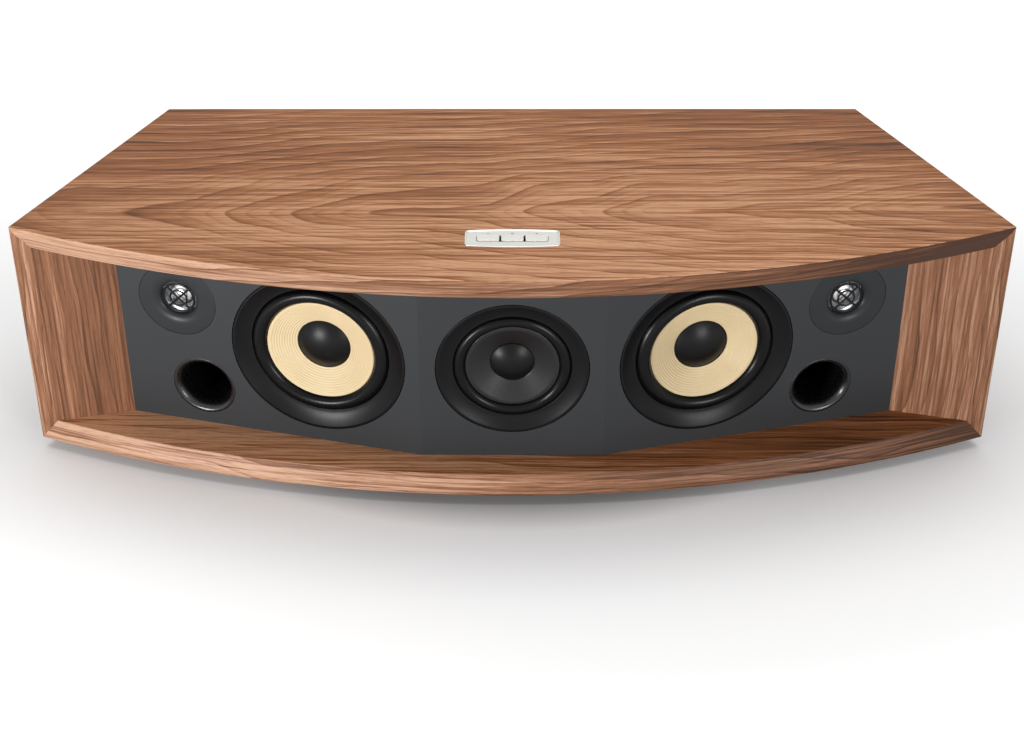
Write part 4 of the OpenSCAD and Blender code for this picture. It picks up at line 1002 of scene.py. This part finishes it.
class SPEAKER_OT_surrounds(bpy.types.Operator):
    """Makes each rubber surround of equal sectors"""
    bl_idname = "speaker.surrounds"
    bl_label = "Rubber surrounds"

    def execute(self, context):
        count = sizes().roll_sectors
        for name, side, d in DRIVERS:
            spot = spot_on_baffle(side, d["offset"])
            profile = roll_profile(d)
            half = math.pi / count
            for index in range(count):
                middle = 2 * half * index
                points, faces, normals = turned(profile, spot, 12, (middle - half, middle + half))
                piece = add_piece(
                    f"{name}_surround_{index + 1:02d}", points, faces, paint("glossy_roll_rubber"), None,
                    [name + "_surround"], normals=normals)
                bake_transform(piece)
        return {"FINISHED"}


def faceplate_profile():
    """Plate section: eased outer edge, flat land, an elliptic flare into the throat, and the hub behind."""
    rim, depth, hub, behind = 0.0326, 0.005, 0.024, 0.0104
    throat, mouth = 0.01475, 0.0228
    return np.vstack([
        [[rim, -depth]],
        eased_edge(rim, 0.0004, quarter(6)),
        flared(throat, mouth, depth, quarter(20)),
        [[throat, -behind], [hub, -behind], [hub, -depth]],
    ])


def throat_ring_profile():
    """A bright conical ring round the dome."""
    return np.array([
        [0.01470, -0.0103], [0.01470, -0.0060], [0.01455, -0.0057], [0.01430, -0.0057], [0.01405, -0.0062],
        [0.01330, -0.0086], [0.01300, -0.0098], [0.01300, -0.0103]])


def dome_profile():
    """Tweeter dome section from axis to axis, with the narrow roll that carries it."""
    radius, height, top = 0.0125, 0.005, -0.0054
    ball = (radius ** 2 + height ** 2) / (2 * height)
    reach = math.asin(radius / ball)
    centre = top - ball
    over = np.linspace(reach, 0, 26)
    under = np.linspace(0, reach, 12)
    skin, seat_r, roll_r, seat_h, roll_h = 0.0006, 0.0158, 0.0130, -0.0113, -0.01045
    return np.vstack([
        ball_arc(ball - skin, centre, under),
        [[seat_r, seat_h], [seat_r, roll_h], [roll_r, roll_h]],
        ball_arc(ball, centre, over),
    ])


def guard_parts(spot):
    """Two flat oval rings and two crossed bars that bow gently outward from ring to ring."""
    centre, across, up, out = spot
    parts = []
    for radius, height, width, depth in (
            (0.0132, -0.0040, 0.0022, 0.0017), (0.0070, -0.0033, 0.0017, 0.0012)):
        points, faces, _ = turned(oval(radius, height, width / 2, depth / 2, full_turn(24)), spot, 96)
        parts.append((points, faces))
    half_span, bow, bar_w, bar_h = 0.0152, 0.0006, 0.0018, 0.0013
    reach = np.linspace(-half_span, half_span, 33)
    rise = -0.0038 + bow * (1 - (reach / half_span) ** 2)
    for angle in (math.radians(45), math.radians(135)):
        along = math.cos(angle) * across + math.sin(angle) * up
        beside = -math.sin(angle) * across + math.cos(angle) * up
        path = centre + reach[:, None] * along + rise[:, None] * out
        parts.append(swept_bar(path, bar_w, bar_h, beside, out))
    return parts


class SPEAKER_OT_tweeters(bpy.types.Operator):
    """Makes the tweeters: flared faceplate, bright ring, dome and guard"""
    bl_idname = "speaker.tweeters"
    bl_label = "Tweeters"

    def execute(self, context):
        for word, side in SIDES:
            name = word + "_tweeter"
            spot = spot_on_baffle(side, TWEETER_OFFSET, TWEETER_RISE)
            turned_piece(name + "_flare", faceplate_profile(), spot, paint("tweeter_faceplate_paint"),
                         "cabinet", [name + "_faceplate"])
            turned_piece(name + "_throat_ring", throat_ring_profile(), spot, paint("silver_ring"), "cabinet")
            turned_piece(name + "_diaphragm", dome_profile(), spot, paint("silver_dome"), "cabinet",
                         [name + "_dome"], sharp=40.0)
            points, faces = gathered(guard_parts(spot))
            add_piece(name + "_cross_guard", points, faces, paint("guard_black"), "cabinet",
                      [name + "_guard"], sharp=50.0)
            paint_nodes({name + "_motor": paint("tweeter_motor")})
        return {"FINISHED"}


def port_profile(depth):
    """Port section: a thin rim, an elliptic flare into the bore, and the tube behind it."""
    rim, mouth, bore, wall, length = 0.0266, 0.0258, 0.020, 0.0025, 0.105
    return np.vstack([
        [[rim, -0.003]],
        eased_edge(rim, 0.0004, quarter(5)),
        flared(bore, mouth, depth, quarter(26)),
        [[bore, -0.04], [bore, -0.08], [bore, -length], [bore + wall, -length], [bore + wall, -0.05],
         [bore + wall, -0.003]],
    ])


class SPEAKER_OT_ports(bpy.types.Operator):
    """Turns the two flared reflex ports"""
    bl_idname = "speaker.ports"
    bl_label = "Reflex ports"

    def execute(self, context):
        for word, side in SIDES:
            spot = spot_on_baffle(side, PORT_OFFSET, -PORT_DROP)
            turned_piece(word + "_port_tube", port_profile(sizes().port_depth), spot,
                         paint("gloss_port_plastic"), "cabinet", [word + "_port"])
        return {"FINISHED"}


def rounded_distance(x, y, width, depth, corner):
    """Signed distance to a rounded rectangle: to the rectangle of its corners' centres less their radius."""
    qx, qy = np.abs(x) - (width / 2 - corner), np.abs(y) - (depth / 2 - corner)
    return np.hypot(np.maximum(qx, 0), np.maximum(qy, 0)) + np.minimum(np.maximum(qx, qy), 0) - corner


def bezel_distance(x, y):
    """Signed distance to the bezel's outline, where a rounded rectangle and two wide arcs overlap."""
    lens = ((BEZEL_W / 2) ** 2 + BEZEL_BULGE ** 2) / (2 * BEZEL_BULGE)
    rise = lens - BEZEL_D / 2
    return np.maximum.reduce([
        rounded_distance(x, y, BEZEL_W, BEZEL_D, BEZEL_CORNER),
        np.hypot(x, y + rise) - lens, np.hypot(x, y - rise) - lens])


def outline(distance, inset, directions):
    """Points where rays from the middle meet a line inside the outline, found by halving the rays."""
    farthest, halvings = 0.06, 40
    low = np.zeros(len(directions))
    high = np.full(len(directions), farthest)
    for _ in range(halvings):
        half = (low + high) / 2
        inside = distance(half * directions[:, 0], half * directions[:, 1]) < -inset
        low, high = np.where(inside, half, low), np.where(inside, high, half)
    return directions * high[:, None]

def rounded_outline(width, depth, corner, directions, inset=0.0):
    """Points where rays from the middle meet a line inside a rounded rectangle."""
    return outline(lambda x, y: rounded_distance(x, y, width, depth, corner), inset, directions)


def rays(width, depth, count):
    """Directions from the middle, spread evenly round an oval of that width and depth."""
    turn = full_turn(count)
    way = np.stack([width * np.cos(turn), depth * np.sin(turn)], 1)
    return way / np.hypot(*way.T)[:, None]


def raised(rings, x, y, z):
    """Rings of plan points with their heights, moved to a place, as rows for ring_of_rows."""
    return np.stack([
        np.column_stack([ring + (x, y), np.full(len(ring), z + height)]) for ring, height in rings])


def bezel_shape():
    """The bezel: outer wall, raised round rim, flat plate that runs in to the keys' slot, and its wall."""
    ways = rays(BEZEL_W, BEZEL_D, 220)
    slot_w = 3 * KEY_W + 2 * KEY_GAP + 2 * KEY_PLAY
    slot_d = KEY_D + 2 * KEY_PLAY
    slot = rounded_outline(slot_w, slot_d, KEY_CORNER, ways)
    wall = outline(bezel_distance, 0.0, ways)
    foot = 0.0002
    rings = [(wall, -BEZEL_T), (wall, foot)]
    for angle in np.linspace(0, math.pi, 13):
        inset = RIM_W / 2 * (1 - math.cos(angle))
        rings.append((outline(bezel_distance, inset, ways), foot + (RIM_H - foot) * math.sin(angle) ** 0.8))
    inner = outline(bezel_distance, RIM_W + RIM_GAP, ways)
    rings.append((inner, 0.0))
    for share in (0.12, 0.35, 0.65, 0.9, 0.975):
        rings.append((inner + (slot - inner) * share, 0.0))
    rings += [(slot * 1.004, -0.00012), (slot, -0.0004), (slot, -BEZEL_T)]
    rows = raised(rings, 0.0, CONTROL_Y, Z_TOP)
    closed = np.concatenate([rows, rows[:1]])
    faces = ring_of_rows(closed, closed_ends=False)
    total = len(rows) * rows.shape[1]
    return rows.reshape(-1, 3), [[index % total for index in face[::-1]] for face in faces]


def key_shape(x):
    """A bar key: straight walls, a soft shoulder and a slightly crowned top that closes on its middle."""
    ways = rays(KEY_W, KEY_D, 120)
    round_r, crown = 0.00055, 0.0001
    shoulder = KEY_RISE - round_r

    def edge(inset):
        return rounded_outline(KEY_W, KEY_D, KEY_CORNER, ways, inset)

    rings = [(edge(0.0), -BEZEL_T), (edge(0.0), -0.0005), (edge(0.0), shoulder)]
    for angle in quarter(7)[1:]:
        rings.append((edge(round_r * (1 - math.cos(angle))), shoulder + (round_r - crown) * math.sin(angle)))
    flat = edge(0.0008)
    for share in (1.0, 0.75, 0.5, 0.25, 0.03):
        rings.append((flat * share, KEY_RISE - crown + crown * (1 - share ** 2)))
    rows = raised(rings, x, CONTROL_Y, Z_TOP)
    return rows.reshape(-1, 3), ring_of_rows(rows, flip=True)


def mark_parts():
    """Small inked marks behind the keys: a dash, a ring and a cross."""
    pitch = KEY_W + KEY_GAP
    y, z = MARK_Y, Z_TOP + 0.00002
    right, back, out = np.eye(3)
    bar_w, bar_h, half_bar = 0.0004, 0.00012, 0.0011
    reach = np.linspace(-half_bar, half_bar, 5)

    def bar(x, way, beside):
        return swept_bar(np.array([x, y, z]) + reach[:, None] * way, bar_w, bar_h, beside, out)

    profile = oval(0.00095, 0.0, bar_w / 2, bar_h / 2, full_turn(12))
    ring, ring_faces, _ = turned(profile, (np.array([0, y, z]), right, back, out), 36)
    return [
        bar(-pitch, right, back), (ring, ring_faces), bar(pitch, right, back), bar(pitch, back, right)]


class SPEAKER_OT_control_panel(bpy.types.Operator):
    """Makes the metal bezel, its three bar keys and their marks"""
    bl_idname = "speaker.control_panel"
    bl_label = "Control panel"

    def execute(self, context):
        points, faces = bezel_shape()
        add_piece("control_bezel_plate", points, faces, bezel_metal(), "cabinet",
                  ["control_bezel"], sharp=40.0)
        for place, word in ((-1, "left"), (0, "middle"), (1, "right")):
            points, faces = key_shape(place * (KEY_W + KEY_GAP))
            add_piece(word + "_key", points, faces, paint("pale_key_plastic"), word + "_button",
                      [word + "_button"], sharp=40.0)
        points, faces = gathered(mark_parts())
        add_piece("control_marks", points, faces, paint("dark_mark_ink"), "cabinet",
                  sharp=60.0)
        paint_nodes({"control_board": circuit_board()})
        return {"FINISHED"}


def screw_shape(x, z, y_face):
    """A cross-slotted round head: a dome over a polar grid, sunk by a smooth cross in its middle.

    Its height is the dome's times the root of 1 less 0.8 share squared, less the slot's depth where the
    point is nearer to an arm than the slot's half width and within its reach.
    """
    count, radius, dome, slot_depth, slot_half, slot_reach = 48, 0.0032, 0.0011, 0.0008, 0.00045, 0.0019
    share = np.array([0.12, 0.25, 0.36, 0.48, 0.58, 0.66, 0.76, 0.88, 1.0])
    angles = full_turn(count)
    px = radius * share[:, None] * np.cos(angles)
    pz = radius * share[:, None] * np.sin(angles)
    arm = np.clip((slot_half - np.minimum(np.abs(px), np.abs(pz))) / 0.00012, 0, 1)
    reach = np.clip((slot_reach - radius * share[:, None]) / 0.0002, 0, 1)
    rise = dome * np.sqrt(1 - 0.8 * share[:, None] ** 2) - slot_depth * arm * reach
    rows = np.stack([x + px, y_face + rise, z + pz], -1)
    foot = np.stack(
        [x + radius * np.cos(angles), np.full(count, y_face), z + radius * np.sin(angles)], -1)[None]
    rows = np.concatenate([rows, foot])
    return rows.reshape(-1, 3), ring_of_rows(rows)


class SPEAKER_OT_back(bpy.types.Operator):
    """Finishes the connector panel and its sockets, the boards inside, and adds the fasteners at the back"""
    bl_idname = "speaker.back"
    bl_label = "Back and inside"

    def execute(self, context):
        flange_t = 0.002
        parts = [screw_shape(x, z, Y_REAR) for x in (-0.272, -0.165, 0.165, 0.272) for z in (0.040, 0.186)]
        parts += [screw_shape(x, Z_AXIS + z, Y_REAR + flange_t) for x in (-0.0565, 0.0565)
                  for z in (-0.058, 0.0, 0.058)]
        points, faces = gathered(parts)
        add_piece("rear_fasteners", points, faces, paint("fastener_steel"), "cabinet",
                  sharp=35.0)
        paint_nodes({
            "connector_panel": paint("connector_plastic"), "mains_inlet": paint("socket_plastic"),
            "network_socket": paint("socket_metal"), "audio_sockets": paint("socket_plastic"),
            "main_board": circuit_board(), "power_supply_board": circuit_board(),
            "heat_sink": paint("heat_sink_metal"), "wireless_module": paint("radio_shield")})
        return {"FINISHED"}


# The lamps' places, targets, sizes and watts
LAMPS = {
    "left_soft_box": ((-0.82, -1.00, 0.17), (-0.05, -0.10, 0.10), (0.30, 0.28), 10.5),
    "overhead_soft_box": ((0.0, 0.15, 1.9), (0.0, 0.0, 0.1), (2.4, 1.3), 25.0),
    "right_fill": ((1.3, -2.2, 0.55), (0.05, -0.05, 0.12), (0.8, 0.8), 27.0),
}
CAMERA_PLACE, CAMERA_PITCH = (-0.0003, -1.4125, 1.0332), math.radians(35.24)
CAMERA_LENS, CAMERA_SENSOR = 70.83, 36.0
WHITE = (1.0, 1.0, 1.0, 1.0)


def area_lamp(name, place, target, size, watts):
    """A soft box at a place, aimed at a target."""
    lamp = bpy.data.lights.new(name, "AREA")
    lamp.shape = "RECTANGLE"
    lamp.size, lamp.size_y = size
    lamp.energy = watts
    way = np.subtract(target, place)
    heading = math.atan2(way[1], way[0])
    pitch = math.atan2(-way[2], math.hypot(way[0], way[1]))
    box = placed(name, lamp)
    box.location = place
    box.rotation_euler = (math.pi / 2 - pitch, 0.0, heading - math.pi / 2)


class SPEAKER_OT_stage(bpy.types.Operator):
    """Lays the pale floor, lights it softly from the left and above, and places the camera"""
    bl_idname = "speaker.stage"
    bl_label = "Stage"

    def execute(self, context):
        scene = context.scene
        scene.view_settings.view_transform = "Standard"
        self.floor()
        self.world(scene)
        for name, settings in LAMPS.items():
            area_lamp(name, *settings)
        camera = bpy.data.cameras.new("camera")
        camera.lens = CAMERA_LENS
        camera.sensor_width = CAMERA_SENSOR
        scene.camera = placed("camera", camera)
        scene.camera.location = CAMERA_PLACE
        scene.camera.rotation_euler = (math.pi / 2 - CAMERA_PITCH, 0.0, 0.0)
        return {"FINISHED"}

    def floor(self):
        """A pale sheet, white to camera and reflections, that gives little light and keeps the shadow. To the
        camera it greys close to the cabinet, a painted shadow, and it glows more away from the cabinet,
        painted light.
        """
        f = Finish("pale_floor", Roughness=0.9, Specular_IOR_Level=0.0)
        seen = f.seen()
        x, y, _ = f.parts(f.point())
        across = f.math("POWER", f.math("MULTIPLY", x, 0.62), 2.0)
        away = f.math("SQRT", f.math("ADD", across, f.math("MULTIPLY", y, y)))
        # To the camera the floor greys close to the cabinet: a painted shadow
        pale = f.ramp(
            away, (0.135, (0.38, 0.38, 0.39)), (0.17, (0.84, 0.84, 0.85)), (0.30, (0.90, 0.90, 0.90)))
        f.feed("Base Color", f.mix(seen, (0.36, 0.36, 0.37), pale))
        # Painted light: a glow seen only by the camera, faint by the cabinet and growing away from it
        painted_light_glow = f.math("MULTIPLY", f.level(away, (0.20, 0.02), (0.34, 0.14), (0.60, 0.5), (1.0, 1.0)), seen)
        f.feed("Emission Color", WHITE)
        f.feed("Emission Strength", painted_light_glow)
        mesh = bpy.data.meshes.new("floor")
        mesh.from_pydata([(-6, -5, 0), (6, -5, 0), (6, 6, 0), (-6, 6, 0)], [], [(0, 1, 2, 3)])
        mesh.materials.append(f.material)
        floor = placed("floor", mesh)

    def world(self, scene):
        """White to camera and reflections, and a quarter of that as light."""
        scene.world = bpy.data.worlds.new("studio")
        w = Nodes(scene.world)
        strength = w.add("MapRange", Value=w.seen(), To_Min=0.25, To_Max=1.0).outputs["Result"]
        background = w.add("Background", Color=WHITE, Strength=strength)
        w.add("OutputWorld", Surface=background.outputs[0])


OPERATORS = (
    SPEAKER_OT_cabinet, SPEAKER_OT_baffle, SPEAKER_OT_drivers, SPEAKER_OT_surrounds, SPEAKER_OT_tweeters,
    SPEAKER_OT_ports, SPEAKER_OT_control_panel, SPEAKER_OT_back, SPEAKER_OT_stage,
)


class SPEAKER_PT_sidebar(bpy.types.Panel):
    """Lists the speaker's pieces, sizes and colours"""
    bl_idname = "SPEAKER_PT_sidebar"
    bl_label = "Speaker"
    bl_space_type = "VIEW_3D"
    bl_region_type = "UI"
    bl_category = "Speaker"

    def draw(self, context):
        for group in (context.scene.speaker_sizes, context.scene.speaker_finish):
            for name in group.__annotations__:
                self.layout.prop(group, name)
        for operator in OPERATORS:
            self.layout.operator(operator.bl_idname)


CLASSES = (SpeakerSizes, SpeakerFinish, *OPERATORS, SPEAKER_PT_sidebar)


def register():
    for each in CLASSES:
        bpy.utils.register_class(each)
    bpy.types.Scene.speaker_sizes = PointerProperty(type=SpeakerSizes)
    bpy.types.Scene.speaker_finish = PointerProperty(type=SpeakerFinish)


def unregister():
    del bpy.types.Scene.speaker_finish
    del bpy.types.Scene.speaker_sizes
    for each in reversed(CLASSES):
        bpy.utils.unregister_class(each)


def main():
    register()
    for operator in OPERATORS:
        group, name = operator.bl_idname.split(".")
        getattr(getattr(bpy.ops, group), name)()


if __name__ == "__main__":
    main()
